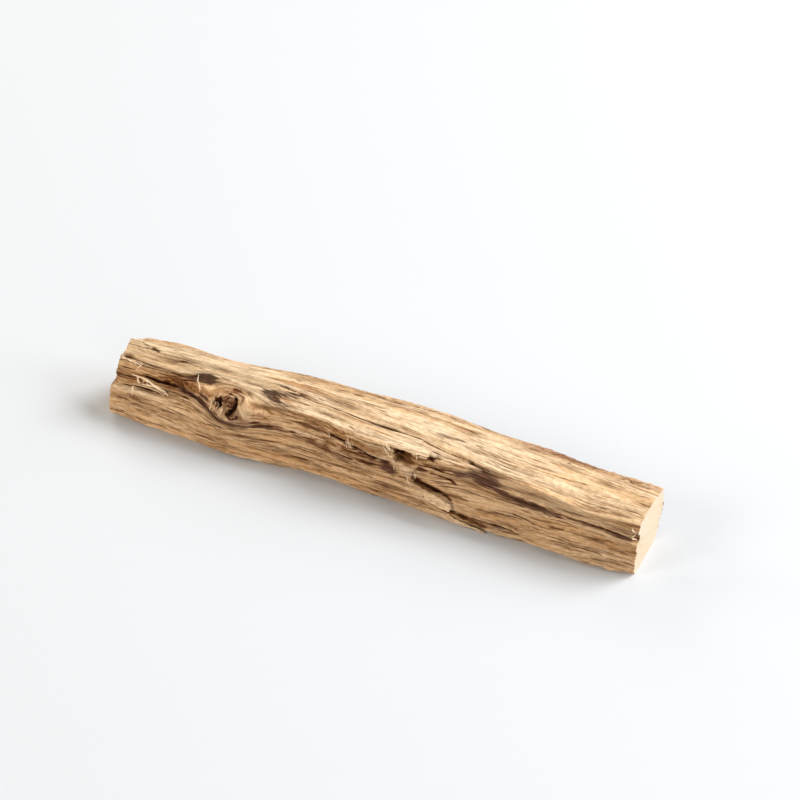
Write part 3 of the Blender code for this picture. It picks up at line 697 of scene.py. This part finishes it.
def stretch(tree, spot, value, low, high, first=0.0, last=1.0, way="SMOOTHSTEP"):
    """Runs from first to last as a value runs from low to high."""
    node = place_node(tree, "ShaderNodeMapRange", spot, interpolation_type=way)
    sources = {"Value": value, "From Min": low, "From Max": high, "To Min": first, "To Max": last}
    for label, source in sources.items():
        wire(tree, source, node.inputs[label])
    return node.outputs["Result"]


def set_inputs(node, **values):
    """Sets unlinked inputs; a name's underscores stand for spaces."""
    for name, value in values.items():
        node.inputs[name.replace("_", " ")].default_value = value


def new_group(name, inputs, outputs):
    """A node group with named sockets, and its entry and exit."""
    group = bpy.data.node_groups.new(name, "ShaderNodeTree")
    for label, value in inputs.items():
        kind = "NodeSocketVector" if isinstance(value, tuple) else "NodeSocketFloat"
        group.interface.new_socket(label, in_out="INPUT", socket_type=kind).default_value = value
    for label in outputs:
        group.interface.new_socket(label, in_out="OUTPUT", socket_type="NodeSocketFloat")
    return group, place_node(group, "NodeGroupInput", (0, 0)), place_node(group, "NodeGroupOutput", (11, 0))


# Shared effect: lines and thin threads along the grain, from noise stretched along the fibres
grain_lines, entry, leave = new_group(
    "grain_lines", {"Flow": (0, 0, 0), "Along": 0.05, "Across": 3.0, "Layer": 0.0, "Waver": 0.3,
                    "Low": 0.4, "High": 0.6, "Thin": 0.04}, ["Lines", "Threads"])
given = entry.outputs
parts = place_node(grain_lines, "ShaderNodeSeparateXYZ", (1, 0))
wire(grain_lines, given["Flow"], parts.inputs[0])
waver_scale = place_node(grain_lines, "ShaderNodeVectorMath", (1, 2), operation="MULTIPLY")
waver_scale.inputs[1].default_value = (0.14, 0.45, 0.0)
wire(grain_lines, given["Flow"], waver_scale.inputs[0])
waver_noise = place_node(grain_lines, "ShaderNodeTexNoise", (2, 2), noise_dimensions="3D")
wire(grain_lines, waver_scale.outputs[0], waver_noise.inputs["Vector"])
set_inputs(waver_noise, Scale=1.0, Detail=3.0)
centred = calc(grain_lines, (3, 2), "SUBTRACT", waver_noise.outputs["Fac"], 0.5)
bent = calc(grain_lines, (4, 2), "MULTIPLY_ADD", centred, given["Waver"], parts.outputs["Y"])
along = calc(grain_lines, (3, 0), "MULTIPLY", parts.outputs["X"], given["Along"])
across = calc(grain_lines, (5, 1), "MULTIPLY", bent, given["Across"])
joined = place_node(grain_lines, "ShaderNodeCombineXYZ", (6, 0))
for axis, source in (("X", along), ("Y", across), ("Z", given["Layer"])):
    wire(grain_lines, source, joined.inputs[axis])
lines_noise = place_node(grain_lines, "ShaderNodeTexNoise", (7, 0), noise_dimensions="3D")
wire(grain_lines, joined.outputs[0], lines_noise.inputs["Vector"])
set_inputs(lines_noise, Scale=1.0, Detail=3.0, Roughness=0.55)
ramp = stretch(grain_lines, (10, 0), lines_noise.outputs["Fac"], given["Low"], given["High"])
wire(grain_lines, ramp, leave.inputs["Lines"])
from_middle = calc(grain_lines, (8, 2), "SUBTRACT", lines_noise.outputs["Fac"], 0.5)
gap = calc(grain_lines, (9, 2), "ABSOLUTE", from_middle)
wire(grain_lines, stretch(grain_lines, (10, 2), gap, 0.0, given["Thin"], 1.0, 0.0), leave.inputs["Threads"])

# Shared effect: breaks a soft painted mark into fibrous edges
fibre_edge, entry, leave = new_group(
    "fibre_edge", {"Mark": 0.0, "Break": 0.5, "Amount": 0.5, "Start": 0.3, "Full": 0.6}, ["Mask"])
given = entry.outputs
centred = calc(fibre_edge, (1, 1), "SUBTRACT", given["Break"], 0.5)
broken = calc(fibre_edge, (2, 0), "MULTIPLY_ADD", centred, given["Amount"], given["Mark"])
ramp = stretch(fibre_edge, (3, 0), broken, given["Start"], given["Full"])
gate = calc(fibre_edge, (4, 1), "MULTIPLY", given["Mark"], 12.0, clamp=True)
wire(fibre_edge, calc(fibre_edge, (5, 0), "MULTIPLY", ramp, gate), leave.inputs["Mask"])


def lay_over(tree, under, over, mask, spot, most=1.0, blend="MIX"):
    """Lays one colour over another where a mask is strong; returns the colour."""
    node = place_node(tree, "ShaderNodeMix", spot, data_type="RGBA", blend_type=blend)
    wire(tree, calc(tree, (spot[0], spot[1] - 1), "MULTIPLY", mask, most), node.inputs[0])
    wire(tree, under, node.inputs[6])
    wire(tree, over, node.inputs[7])
    return node.outputs[2]


def lines(tree, flow, spot, along, across, layer, low, high, waver=0.3, kind="Lines", thin=0.04):
    """Grain lines or threads of one size as a mask."""
    node = place_node(tree, "ShaderNodeGroup", spot, node_tree=grain_lines)
    wire(tree, flow, node.inputs["Flow"])
    set_inputs(node, Along=along, Across=across, Layer=layer, Low=low, High=high, Waver=waver, Thin=thin)
    return node.outputs[kind]


def edged(tree, mark, breaker, spot, amount, start, full):
    """A painted mark with fibrous edges as a mask."""
    node = place_node(tree, "ShaderNodeGroup", spot, node_tree=fibre_edge)
    wire(tree, mark, node.inputs["Mark"])
    wire(tree, breaker, node.inputs["Break"])
    set_inputs(node, Amount=amount, Start=start, Full=full)
    return node.outputs["Mask"]


def read_marks(tree, name, spot):
    """A painted attribute as a vector, and its three values."""
    source = place_node(tree, "ShaderNodeAttribute", spot, attribute_name=name)
    split = place_node(tree, "ShaderNodeSeparateXYZ", (spot[0] + 1, spot[1]))
    wire(tree, source.outputs["Vector"], split.inputs[0])
    return source.outputs["Vector"], split.outputs


def new_material(name, right):
    """A material, its node tree and its shader, which stands at the right of the sheet."""
    made = bpy.data.materials.new(name)
    made.use_nodes = True
    nodes = made.node_tree.nodes
    nodes["Principled BSDF"].location = (right, 0)
    nodes["Material Output"].location = (right + 300, 0)
    return made, made.node_tree, nodes["Principled BSDF"]


def sink(tree, shader, mask, spot, strength, depth):
    """Sinks a mask into the surface as fine grooves."""
    bump = place_node(tree, "ShaderNodeBump", spot, invert=True)
    set_inputs(bump, Strength=strength, Distance=depth)
    wire(tree, mask, bump.inputs["Height"])
    wire(tree, bump.outputs["Normal"], shader.inputs["Normal"])


wood, tree, shader = new_material("split_wood", 6200)
flow, _ = read_marks(tree, "grain_flow", (0, 0))
_, (cracks_and_shade_mark, stain_mark, brown_mark) = read_marks(tree, "dark_marks", (0, 2))
_, (pale_mark, amber_mark, worn_mark) = read_marks(tree, "light_marks", (0, 4))
_, (front_mark, ring_mark, hollow_shade_mark) = read_marks(tree, "places", (0, 6))

# Wood darkens by the first four, as filters that warm it, some of them as painted shade; the others are its
# own colours, but for a painted sheen and a near-black for cracks and painted shade
FAINT, MIDDLING, DARK, VERY_DARK = "D2BEA0", "A98A64", "896840", "684626"
PALE_WOOD, HONEY, SPLIT_TAN, FRESH_WOOD = "FDE2BF", "F1C998", "DB9B50", "FDE2BC"
# The third here is a painted sheen: a near-white laid thinly along the fine fibres
AMBER, WORN_RIM, PAINTED_FIBRE_SHEEN, RING_BROWN = "DB9344", "B88668", "FFF4DA", "926C58"
# Colours for cracks and resin; the cracks' colours also paint shade, and the last, a near-black, paints the
# deepest cracks and the shade in the torn pockets and the knot's gap
FRONT_CRACK_AND_SHADE, RESIN, FRONT_RESIN, RESIN_FLECK, CRACK_AND_SHADE_BLACK = "7E5A3A", "381D12", "553228", "8A644C", "120804"
broad = lines(tree, flow, (3, 0), 0.035, 0.6, 1.0, 0.32, 0.68, 1.0)
bands = lines(tree, flow, (3, 2), 0.05, 1.4, 2.0, 0.5, 0.62, 0.6)
streaks = lines(tree, flow, (3, 4), 0.06, 2.3, 3.0, 0.55, 0.62, 0.5)
hairlines = lines(tree, flow, (3, 6), 0.09, 5.2, 4.0, 0.54, 0.61, 0.4)
dashes = lines(tree, flow, (3, 8), 0.22, 4.4, 5.0, 0.6, 0.67, 0.4)
fibres = lines(tree, flow, (3, 10), 0.6, 11.0, 6.0, 0.3, 0.7, 0.3)
breaker = lines(tree, flow, (3, 12), 0.45, 5.0, 7.0, 0.25, 0.75, 0.7)
mottle = lines(tree, flow, (3, 14), 0.9, 2.4, 8.0, 0.42, 0.6, 0.3)
patches = lines(tree, flow, (3, 16), 0.1, 0.8, 9.0, 0.46, 0.64, 0.8)
some = lines(tree, flow, (3, 17), 0.07, 0.5, 14.0, 0.45, 0.66, 0.8)
long_threads = lines(tree, flow, (3, 18), 0.03, 1.5, 10.0, 0, 1, 0.6, "Threads", 0.045)
fine_threads = lines(tree, flow, (3, 20), 0.07, 2.7, 11.0, 0, 1, 0.5, "Threads", 0.05)
specks = lines(tree, flow, (3, 22), 1.6, 3.6, 16.0, 0.54, 0.66, 0.2)

# Painted shade that darkens the wood in grooves and hollows
hollow_shade_mask = stretch(tree, (5, 14), hollow_shade_mark, 0.1, 0.8)
brown_mask = edged(tree, brown_mark, breaker, (5, 4), 0.8, 0.0, 1.0)
ring_mask = edged(tree, ring_mark, breaker, (5, 10), 1.0, 0.2, 0.9)
# The cracks' mask is partly painted shade, and the black mask is its near-black core
cracks_and_shade_mask = edged(tree, cracks_and_shade_mark, breaker, (5, 8), 0.6, 0.28, 0.62)
stain_mask = edged(tree, stain_mark, breaker, (5, 6), 0.7, 0.15, 0.75)
black_mask = edged(tree, cracks_and_shade_mark, breaker, (5, 12), 0.25, 0.82, 0.98)
cracks_and_shade_filter = lay_over(tree, VERY_DARK, FRONT_CRACK_AND_SHADE, front_mark, (6, 9))
resin = lay_over(tree, RESIN, FRONT_RESIN, front_mark, (6, 12))
resin = lay_over(tree, resin, RESIN_FLECK, calc(tree, (6, 14), "MULTIPLY", mottle, fibres), (7, 12), 0.5)

# Coats of colour from the bare wood up: blend, colour, mask, second mask or None, strength
COATS = [
    ("MIX", HONEY, broad, None, 0.85), ("MULTIPLY", FAINT, bands, None, 0.6),
    ("MULTIPLY", MIDDLING, bands, front_mark, 0.35), ("MIX", SPLIT_TAN, front_mark, None, 0.38),
    ("MIX", FRESH_WOOD, pale_mark, None, 0.8), ("MIX", AMBER, amber_mark, None, 0.65),
    ("MIX", WORN_RIM, worn_mark, None, 0.75), ("MULTIPLY", DARK, specks, worn_mark, 0.8),
    ("MULTIPLY", FAINT, mottle, None, 0.45), ("MULTIPLY", MIDDLING, streaks, some, 0.7),
    ("MULTIPLY", DARK, hairlines, patches, 0.85), ("MULTIPLY", DARK, fine_threads, patches, 0.85),
    ("MULTIPLY", DARK, long_threads, some, 0.9), ("MULTIPLY", DARK, dashes, some, 0.9),
    # a painted sheen along the fibres, then painted shade in grooves and hollows
    ("MIX", PAINTED_FIBRE_SHEEN, fibres, None, 0.12), ("MULTIPLY", DARK, hollow_shade_mask, None, 0.75),
    ("MULTIPLY", MIDDLING, brown_mask, None, 0.9), ("MULTIPLY", RING_BROWN, ring_mask, None, 0.85),
    # cracks and dark lines, partly painted shade
    ("MULTIPLY", cracks_and_shade_filter, cracks_and_shade_mask, None, 0.95), ("MULTIPLY", DARK, specks, brown_mark, 0.8),
    # resin, then near-black in the deepest cracks and as painted shade in the pockets and the knot's gap
    ("MIX", resin, stain_mask, None, 0.92), ("MIX", CRACK_AND_SHADE_BLACK, black_mask, None, 0.95),
]
base = PALE_WOOD
for step, (blend, over, mask, within, most) in enumerate(COATS, 8):
    if within is not None:
        mask = calc(tree, (step, 3), "MULTIPLY", mask, within)
    base = lay_over(tree, base, over, mask, (step, 0), most, blend)
wire(tree, base, shader.inputs["Base Color"])

sink(tree, shader, calc(tree, (10, 10), "MULTIPLY_ADD", fibres, -0.5, hairlines), (16, 8), 0.8, 0.00009)
wire(tree, stretch(tree, (16, 5), broad, 0.0, 1.0, 0.62, 0.82, "LINEAR"), shader.inputs["Roughness"])
set_inputs(shader, Specular_IOR_Level=0.1)


RIM_GRIT = "5A3626"


def end_grain(name, light, dark, pore):
    """End-grain material: faint growth rings, rays and pores on a face across the fibres."""
    made, tree, shader = new_material(name, 2200)
    where = place_node(tree, "ShaderNodeTexCoord", (0, 0))
    turned = place_node(tree, "ShaderNodeMapping", (1, 0))
    set_inputs(turned, Rotation=(math.radians(28), 0, 0), Scale=(1000, 1000, 1000))
    wire(tree, where.outputs["Object"], turned.inputs["Vector"])
    swapped = place_node(tree, "ShaderNodeSeparateXYZ", (2, 0))
    wire(tree, turned.outputs[0], swapped.inputs[0])
    face_flow = place_node(tree, "ShaderNodeCombineXYZ", (3, 0))
    wire(tree, swapped.outputs["Y"], face_flow.inputs["X"])
    wire(tree, swapped.outputs["Z"], face_flow.inputs["Y"])
    growth = lines(tree, face_flow.outputs[0], (4, 0), 0.06, 0.9, 11.0, 0.4, 0.62, 1.0)
    pores = lines(tree, face_flow.outputs[0], (4, 2), 3.2, 4.2, 12.0, 0.58, 0.68, 0.1)
    rays = lines(tree, face_flow.outputs[0], (4, 4), 2.4, 0.25, 13.0, 0.5, 0.75, 0.2)
    base = lay_over(tree, light, dark, growth, (6, 0), 0.5)
    base = lay_over(tree, base, dark, rays, (7, 0), 0.4)
    base = lay_over(tree, base, pore, pores, (8, 0), 0.4)
    sides = place_node(tree, "ShaderNodeSeparateXYZ", (1, 6))
    wire(tree, where.outputs["Object"], sides.inputs[0])
    rim = stretch(tree, (2, 6), sides.outputs["Y"], 0.0035, 0.007, way="LINEAR")
    grit = lines(tree, face_flow.outputs[0], (4, 6), 1.5, 1.9, 15.0, 0.6, 0.64, 0.2)
    base = lay_over(tree, base, RIM_GRIT, calc(tree, (7, 6), "MULTIPLY", grit, rim), (9, 0), 0.9)
    wire(tree, base, shader.inputs["Base Color"])
    sink(tree, shader, pores, (9, 3), 0.5, 0.00006)
    set_inputs(shader, Roughness=0.85, Specular_IOR_Level=0.2)
    return made


for material in (wood, end_grain("sawn_end_grain", "D7C4AC", "CFB899", "9C7652"),
                 end_grain("broken_end_grain", "D3AC78", "A87B4C", "5E3D26")):
    mesh.materials.append(material)
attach(stick, "root")
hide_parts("stick")


# The peeled flake: two tongues and a few chips of the skin, torn up at their right-hand ends
# and still joined to the stick at the left. Each: lower and upper edge, lift and thickness in mm
FLAKES = [
    (TONGUES[0][0], TONGUES[0][1], 1.05, 0.4, 0.8),
    (TONGUES[1][0], TONGUES[1][1], 0.6, 0.4, 0.2),
    ([(5.6, 7.5), (7.5, 7.5), (10.3, 7.8)], [(5.6, 8.5), (7.5, 8.6), (10.3, 8.5)], 0.45, 0.25, 1.4),
    ([(6.0, 6.9), (9.9, 7.0)], [(6.0, 7.6), (9.9, 7.7)], 0.4, 0.2, 1.0),
    ([(7.6, 10.7), (10.0, 10.8)], [(7.6, 11.4), (10.0, 11.3)], 0.2, 0.3, 0.6),
    ([(-8, 10.0), (-3, 9.5), (1, 9.2), (6.1, 8.8)], [(-8, 10.7), (-3, 11.1), (6.1, 11.0)], 0.34, 0.3, 0.9),
]


def flake(lower, upper, lift, thickness, ragged):
    """A thin tongue between two edges, rising from the skin, with a ragged tip."""
    start, tip = lower[0][0], lower[-1][0]
    rows = 2 + round((tip - start) / 0.2)
    widest = max(high - low for (_, low), (_, high) in zip(lower, upper))
    cells = 3 + round(widest / 0.14)
    part, side = np.meshgrid(np.linspace(0, 1, rows), np.linspace(0, 1, cells), indexing="ij")
    shortened = ragged * (0.5 + 0.5 * rough(0 * side + start, side * widest * 2.4, 31.0))
    s = start + (tip - start - np.clip(shortened, 0, None)) * part
    low = np.interp(s, *zip(*lower)) + 0.1 * rough(s * 1.4, 0 * s, start)
    high = np.interp(s, *zip(*upper)) + 0.1 * rough(s * 1.4, 0 * s, start + 7)
    v = low + (high - low) * side
    rise = lift * fade(part, 0.15, 0.95) * (1.2 - 0.5 * side) - 0.12 * (1 - part)
    edge = 1 - (2 * side - 1) ** 4
    thick = thickness * (1 - 0.75 * part) * (0.25 + 0.75 * edge)
    top = wood_columns(s, v, rise + 0.05)
    # The top keeps little of the skin's dark marks and painted shade, but near its edges, and no painted
    # hollow shade
    top[..., 6:9] *= (0.25 + 0.75 * edge ** 3)[..., None]
    top[..., 9] = np.maximum(top[..., 9], 0.75 * part)
    top[..., 14] = 0.0
    under = wood_columns(s, v, rise + 0.05 - thick)
    # The underside takes the full brown mark, as painted shade under the flake
    under[..., 8] = 1.0
    return np.concatenate([top, under[:, ::-1]], 1)


flakes = build("peeled_flakes", [flake(*one) for one in FLAKES])
flakes.data.materials.append(wood)
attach(flakes, "root")


# Pale slivers: thin strips of fresh wood that lie along the left end, lifted from the grain.
# Each: route as (s, v), width and height above the skin in mm
SLIVERS = [
    ([(-46.3, 9.9), (-43.7, 9.8), (-41.0, 9.1), (-39.2, 8.8), (-38.2, 8.3)], 0.34, 0.30),
    ([(-44.3, 8.8), (-42.8, 8.95), (-41.3, 9.0), (-38.8, 8.4)], 0.24, 0.26),
    ([(-45.2, 8.5), (-42.5, 8.6), (-40.6, 8.5), (-39.0, 8.0)], 0.2, 0.22),
    ([(-48.5, 12.1), (-46.8, 11.9), (-45.4, 11.7)], 0.24, 0.15),
    ([(-13.2, 8.95), (-10.0, 8.75), (-7.5, 8.6)], 0.18, 0.12),
    ([(9.9, 10.9), (10.6, 11.2), (11.7, 11.3)], 0.2, 0.25),
]

# Loose fibres that stand off the skin: (s, v, height) points and width in mm
FIBRES = [
    ([(-45.5, 8.4, 0.3), (-45.3, 7.4, 0.8), (-45.1, 6.5, 0.8), (-45.2, 5.6, 0.3)], 0.22),
    ([(-45.1, 9.9, 0.3), (-44.8, 9.4, 0.7), (-44.4, 8.7, 0.3)], 0.3),
    ([(8.4, 7.4, 0.3), (8.9, 6.9, 0.6), (9.7, 6.1, 0.3)], 0.15),
    ([(-46.6, 12.3, 0.2), (-46.5, 11.9, 0.5), (-46.2, 11.4, 0.3)], 0.14),
    ([(-45.5, 11.9, 0.3), (-44.9, 11.9, 0.6), (-45.0, 11.3, 0.7), (-45.5, 11.0, 0.5),
      (-45.6, 10.6, 0.2)], 0.15),
    ([(-33.9, 13.6, 0.2), (-33.5, 12.9, 0.7), (-33.1, 12.1, 0.8), (-32.5, 11.6, 0.7),
      (-32.1, 10.7, 0.2)], 0.16),
    ([(-32.5, 11.6, 0.6), (-32.2, 11.3, 0.5), (-32.0, 11.1, 0.2)], 0.12),
    ([(-29.7, 10.1, 0.1), (-29.4, 9.6, 0.5), (-29.3, 9.2, 0.3)], 0.12),
    ([(-28.3, 9.8, 0.3), (-28.1, 9.3, 0.6), (-28.2, 8.8, 0.3)], 0.14),
    ([(-27.2, 8.2, 0.1), (-27.0, 8.8, 0.5), (-26.9, 9.4, 0.3)], 0.14),
    ([(-7.3, 10.1, 0.1), (-7.0, 9.7, 0.4), (-6.9, 9.2, 0.1)], 0.12),
    ([(-3.5, 10.0, 0.1), (-3.1, 9.4, 0.5), (-2.8, 8.8, 0.2)], 0.14),
    ([(-2.9, 11.0, 0.1), (-2.6, 10.2, 0.5), (-2.4, 9.4, 0.4), (-2.5, 9.0, 0.1)], 0.14),
    ([(-2.2, 10.4, 0.1), (-1.9, 9.8, 0.4), (-2.0, 9.3, 0.1)], 0.1),
    ([(-3.3, 4.3, 0.05), (-3.1, 4.6, 0.25), (-2.8, 4.9, 0.05)], 0.12),
    ([(4.3, 11.6, 0.2), (4.9, 11.2, 0.6), (5.4, 10.7, 0.3)], 0.14),
    ([(4.0, 10.9, 0.2), (4.7, 10.4, 0.6), (5.2, 9.7, 0.3)], 0.14),
    ([(3.6, 11.3, 0.2), (4.4, 10.9, 0.5), (4.6, 10.3, 0.2)], 0.12),
    ([(5.6, 9.6, 0.2), (5.9, 9.0, 0.5), (5.7, 8.4, 0.3)], 0.14),
    ([(9.6, 11.3, 0.2), (10.0, 10.8, 0.6), (9.8, 10.3, 0.2)], 0.14),
    ([(9.9, 7.9, 0.3), (10.3, 7.5, 0.6), (10.0, 7.0, 0.3)], 0.12),
    ([(48.7, 10.4, 0.05), (49.1, 10.0, 0.3), (49.6, 9.8, 0.25)], 0.26),
    ([(49.5, 9.0, 0.1), (49.1, 8.4, 0.7), (49.3, 7.8, 0.7), (49.7, 7.5, 0.4)], 0.26),
]


# Tufts of finer fibre where the skin is torn: middle and reach in (s, v), number of fibres, the
# turn of the fibres from +s in degrees and their length in mm
TUFTS = [
    ((-3.2, 9.4), (0.6, 0.5), 8, -70, 1.0), ((5.4, 10.9), (0.6, 0.4), 5, -20, 1.0),
    ((6.2, 8.3), (0.4, 0.8), 8, -50, 0.8), ((8.6, 8.0), (1.4, 0.5), 10, -10, 0.9),
    ((9.6, 11.2), (0.7, 0.3), 6, -10, 0.9),
    ((-43.6, 9.1), (1.6, 0.5), 5, -20, 1.3), ((-48.0, 12.2), (1.4, 0.5), 5, -20, 1.1),
    ((-28.6, 9.3), (1.0, 0.7), 7, -60, 0.9),
]


def tuft(middle, reach, number, turn, length):
    """Short seeded strands scattered over one torn place, each with its path and width."""
    made = []
    for _ in range(number):
        s0 = middle[0] + reach[0] * chance.uniform(-1, 1)
        v0 = middle[1] + reach[1] * chance.uniform(-1, 1)
        angle = math.radians(turn + chance.gauss(0, 22))
        long = length * chance.uniform(0.5, 1.1)
        ds, dv = long * math.cos(angle) / 2, long * math.sin(angle) / 2
        rise = chance.uniform(0.12, 0.4)
        bend = chance.uniform(-0.15, 0.15)
        path = [(s0 - ds, v0 - dv, 0.03), (s0, v0 + bend, rise), (s0 + ds, v0 + dv, rise / 2)]
        made.append((path, chance.uniform(0.07, 0.15)))
    return made


def strand(path, width, flat):
    """A thin strand along (s, v, height) points, with pointed ends."""
    steps = 3 + 4 * len(path)
    place = np.linspace(0, len(path) - 1, steps)
    s, v, height = (np.interp(place, range(len(path)), column) for column in np.transpose(path))
    window = np.array([0.25, 0.5, 0.25])
    s[1:-1], v[1:-1] = (np.convolve(column, window, "valid") for column in (s, v))
    middle = wood_columns(s[:, None], v[:, None], height[:, None])[:, 0]
    run = np.gradient(middle[:, :3], axis=0)
    run /= np.linalg.norm(run, axis=1)[:, None]
    out = np.array([0, -0.65, 0.76]) + 0 * run
    side = np.cross(run, out)
    side /= np.linalg.norm(side, axis=1)[:, None]
    out = np.cross(side, run)
    half = 0.5 * width * (0.25 + 0.75 * np.sin(np.pi * np.linspace(0.04, 0.96, steps)))[:, None]
    rings = []
    for turn in np.linspace(0, 2 * np.pi, 7)[:-1]:
        ring = middle.copy()
        ring[:, :3] += half * (np.cos(turn) * side + flat * np.sin(turn) * out)
        ring[:, :3] = np.clip(ring[:, :3], (-END, -WIDEST_Y, 0), (END, WIDEST_Y, HIGHEST_Z))
        rings.append(ring)
    return np.stack(rings, 1)


def torn_material(name, code, shade):
    """Fresh pale fibre: fine lines along each strand over one warm colour."""
    made, tree, shader = new_material(name, 1600)
    flow, _ = read_marks(tree, "grain_flow", (0, 0))
    fine = lines(tree, flow, (3, 0), 0.8, 6.0, 21.0, 0.4, 0.65, 0.2)
    wire(tree, lay_over(tree, code, shade, fine, (5, 0), 0.6), shader.inputs["Base Color"])
    sink(tree, shader, fine, (5, 3), 0.5, 0.00004)
    set_inputs(shader, Roughness=0.75, Specular_IOR_Level=0.3)
    return made


pale_fibre = torn_material("pale_fibre", "FFE8C4", "E0B783")
slivers = build("pale_slivers", [strand([(s, v, height) for s, v in route], width, 0.6)
                                 for route, width, height in SLIVERS])
chance = random.Random(7)
small_fibres = [fibre for one in TUFTS for fibre in tuft(*one)]
fibres_piece = build("loose_fibres", [strand(path, width, 0.8) for path, width in FIBRES + small_fibres])
for piece in (slivers, fibres_piece):
    piece.data.materials.append(pale_fibre)
    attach(piece, "root")


# Bark crumbs: specks of dark bark on the back rim of the sawn end, where the saw broke it up.
# They are short curled strands in the dark colour of the wood.
CRUMB_COUNT = 22
crumbs = []
for _ in range(CRUMB_COUNT):
    s0, v0 = 49.9 - 0.4 * chance.random() ** 2, 26.0 + 5.5 * chance.random()
    path = [(s0 - 0.15, v0, 0.0), (s0, v0 + 0.15, chance.uniform(0.2, 0.6)), (s0, v0 + 0.3, 0.1)]
    crumb = strand(path, chance.uniform(0.2, 0.34), 0.9)
    crumb[..., 7] = 1.0
    crumbs.append(crumb)
bark_crumbs = build("bark_crumbs", crumbs)
bark_crumbs.data.materials.append(wood)
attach(bark_crumbs, "root")


# The table. A plain pale surface that runs out past the view and takes the soft shadows.
# It is part of the stage, so it isn't attached to the stick's body.
FLOOR_SIZE = 3.0
floor_mesh = bpy.data.meshes.new("table_top")
half = FLOOR_SIZE / 2
floor_mesh.from_pydata([(-half, -half, 0), (half, -half, 0), (half, half, 0), (-half, half, 0)], [],
                       [(0, 1, 2, 3)])
table_top = bpy.data.objects.new("table_top", floor_mesh)
bpy.context.scene.collection.objects.link(table_top)
paper = bpy.data.materials.new("white_paper")
paper.use_nodes = True
set_inputs(paper.node_tree.nodes["Principled BSDF"], Base_Color=(0.655, 0.675, 0.7, 1),
           Roughness=0.9, Specular_IOR_Level=0.1)
floor_mesh.materials.append(paper)
table_top.location.z = -0.00002


# Soft studio light: a wide panel overhead, towards the right and the back, with a faint fill
def panel(name, azimuth, elevation, power, tint):
    """A round light panel 1 m away that faces the stick; azimuth turns from +X to +Y."""
    data = bpy.data.lights.new(name, "AREA")
    data.shape = "DISK"
    data.size = 0.55
    data.energy = power
    data.color = tint
    lamp = bpy.data.objects.new(name, data)
    turn, rise = math.radians(azimuth), math.radians(elevation)
    lamp.location = (math.cos(turn) * math.cos(rise), math.sin(turn) * math.cos(rise), math.sin(rise))
    lamp.rotation_euler = (-lamp.location).to_track_quat("-Z", "Y").to_euler()
    bpy.context.scene.collection.objects.link(lamp)


COOL = (0.97, 0.985, 1.0)
WARM = (1.0, 0.94, 0.86)
for name, azimuth, elevation, power, tint in [
        ("key_panel", 45, 45, 8.4, COOL), ("right_panel", 8, 28, 5.2, COOL),
        ("back_right_panel", 45, 25, 2.8, COOL), ("back_left_panel", 135, 25, 3.4, WARM),
        ("left_panel", 180, 25, 3.4, WARM), ("front_left_panel", 230, 27, 5.0, WARM),
        ("front_right_panel", 315, 25, 1.8, WARM)]:
    panel(name, azimuth, elevation, power, tint)
world = bpy.data.worlds.new("studio")
world.use_nodes = True
world.node_tree.nodes["Background"].inputs["Color"].default_value = (0.95, 0.97, 1.0, 1)
world.node_tree.nodes["Background"].inputs["Strength"].default_value = 0.0
bpy.context.scene.world = world
bpy.context.scene.view_settings.view_transform = "Standard"

# The camera looks down on the stick from the front and a little to the right
AZIMUTH = math.radians(25.2)
ELEVATION = math.radians(38)
DISTANCE = 0.4025
TARGET = Vector((-0.0048, 0.0199 - MIDDLE_Y * MM, 0))
lens = bpy.data.cameras.new("camera")
lens.lens = 100
lens.sensor_width = 36
lens.clip_start = 0.01
lens.clip_end = 10
camera = bpy.data.objects.new("camera", lens)
back = Vector((math.sin(AZIMUTH) * math.cos(ELEVATION), -math.cos(AZIMUTH) * math.cos(ELEVATION),
               math.sin(ELEVATION)))
camera.location = TARGET + back * DISTANCE
camera.rotation_euler = back.to_track_quat("Z", "Y").to_euler()
bpy.context.scene.collection.objects.link(camera)
bpy.context.scene.camera = camera
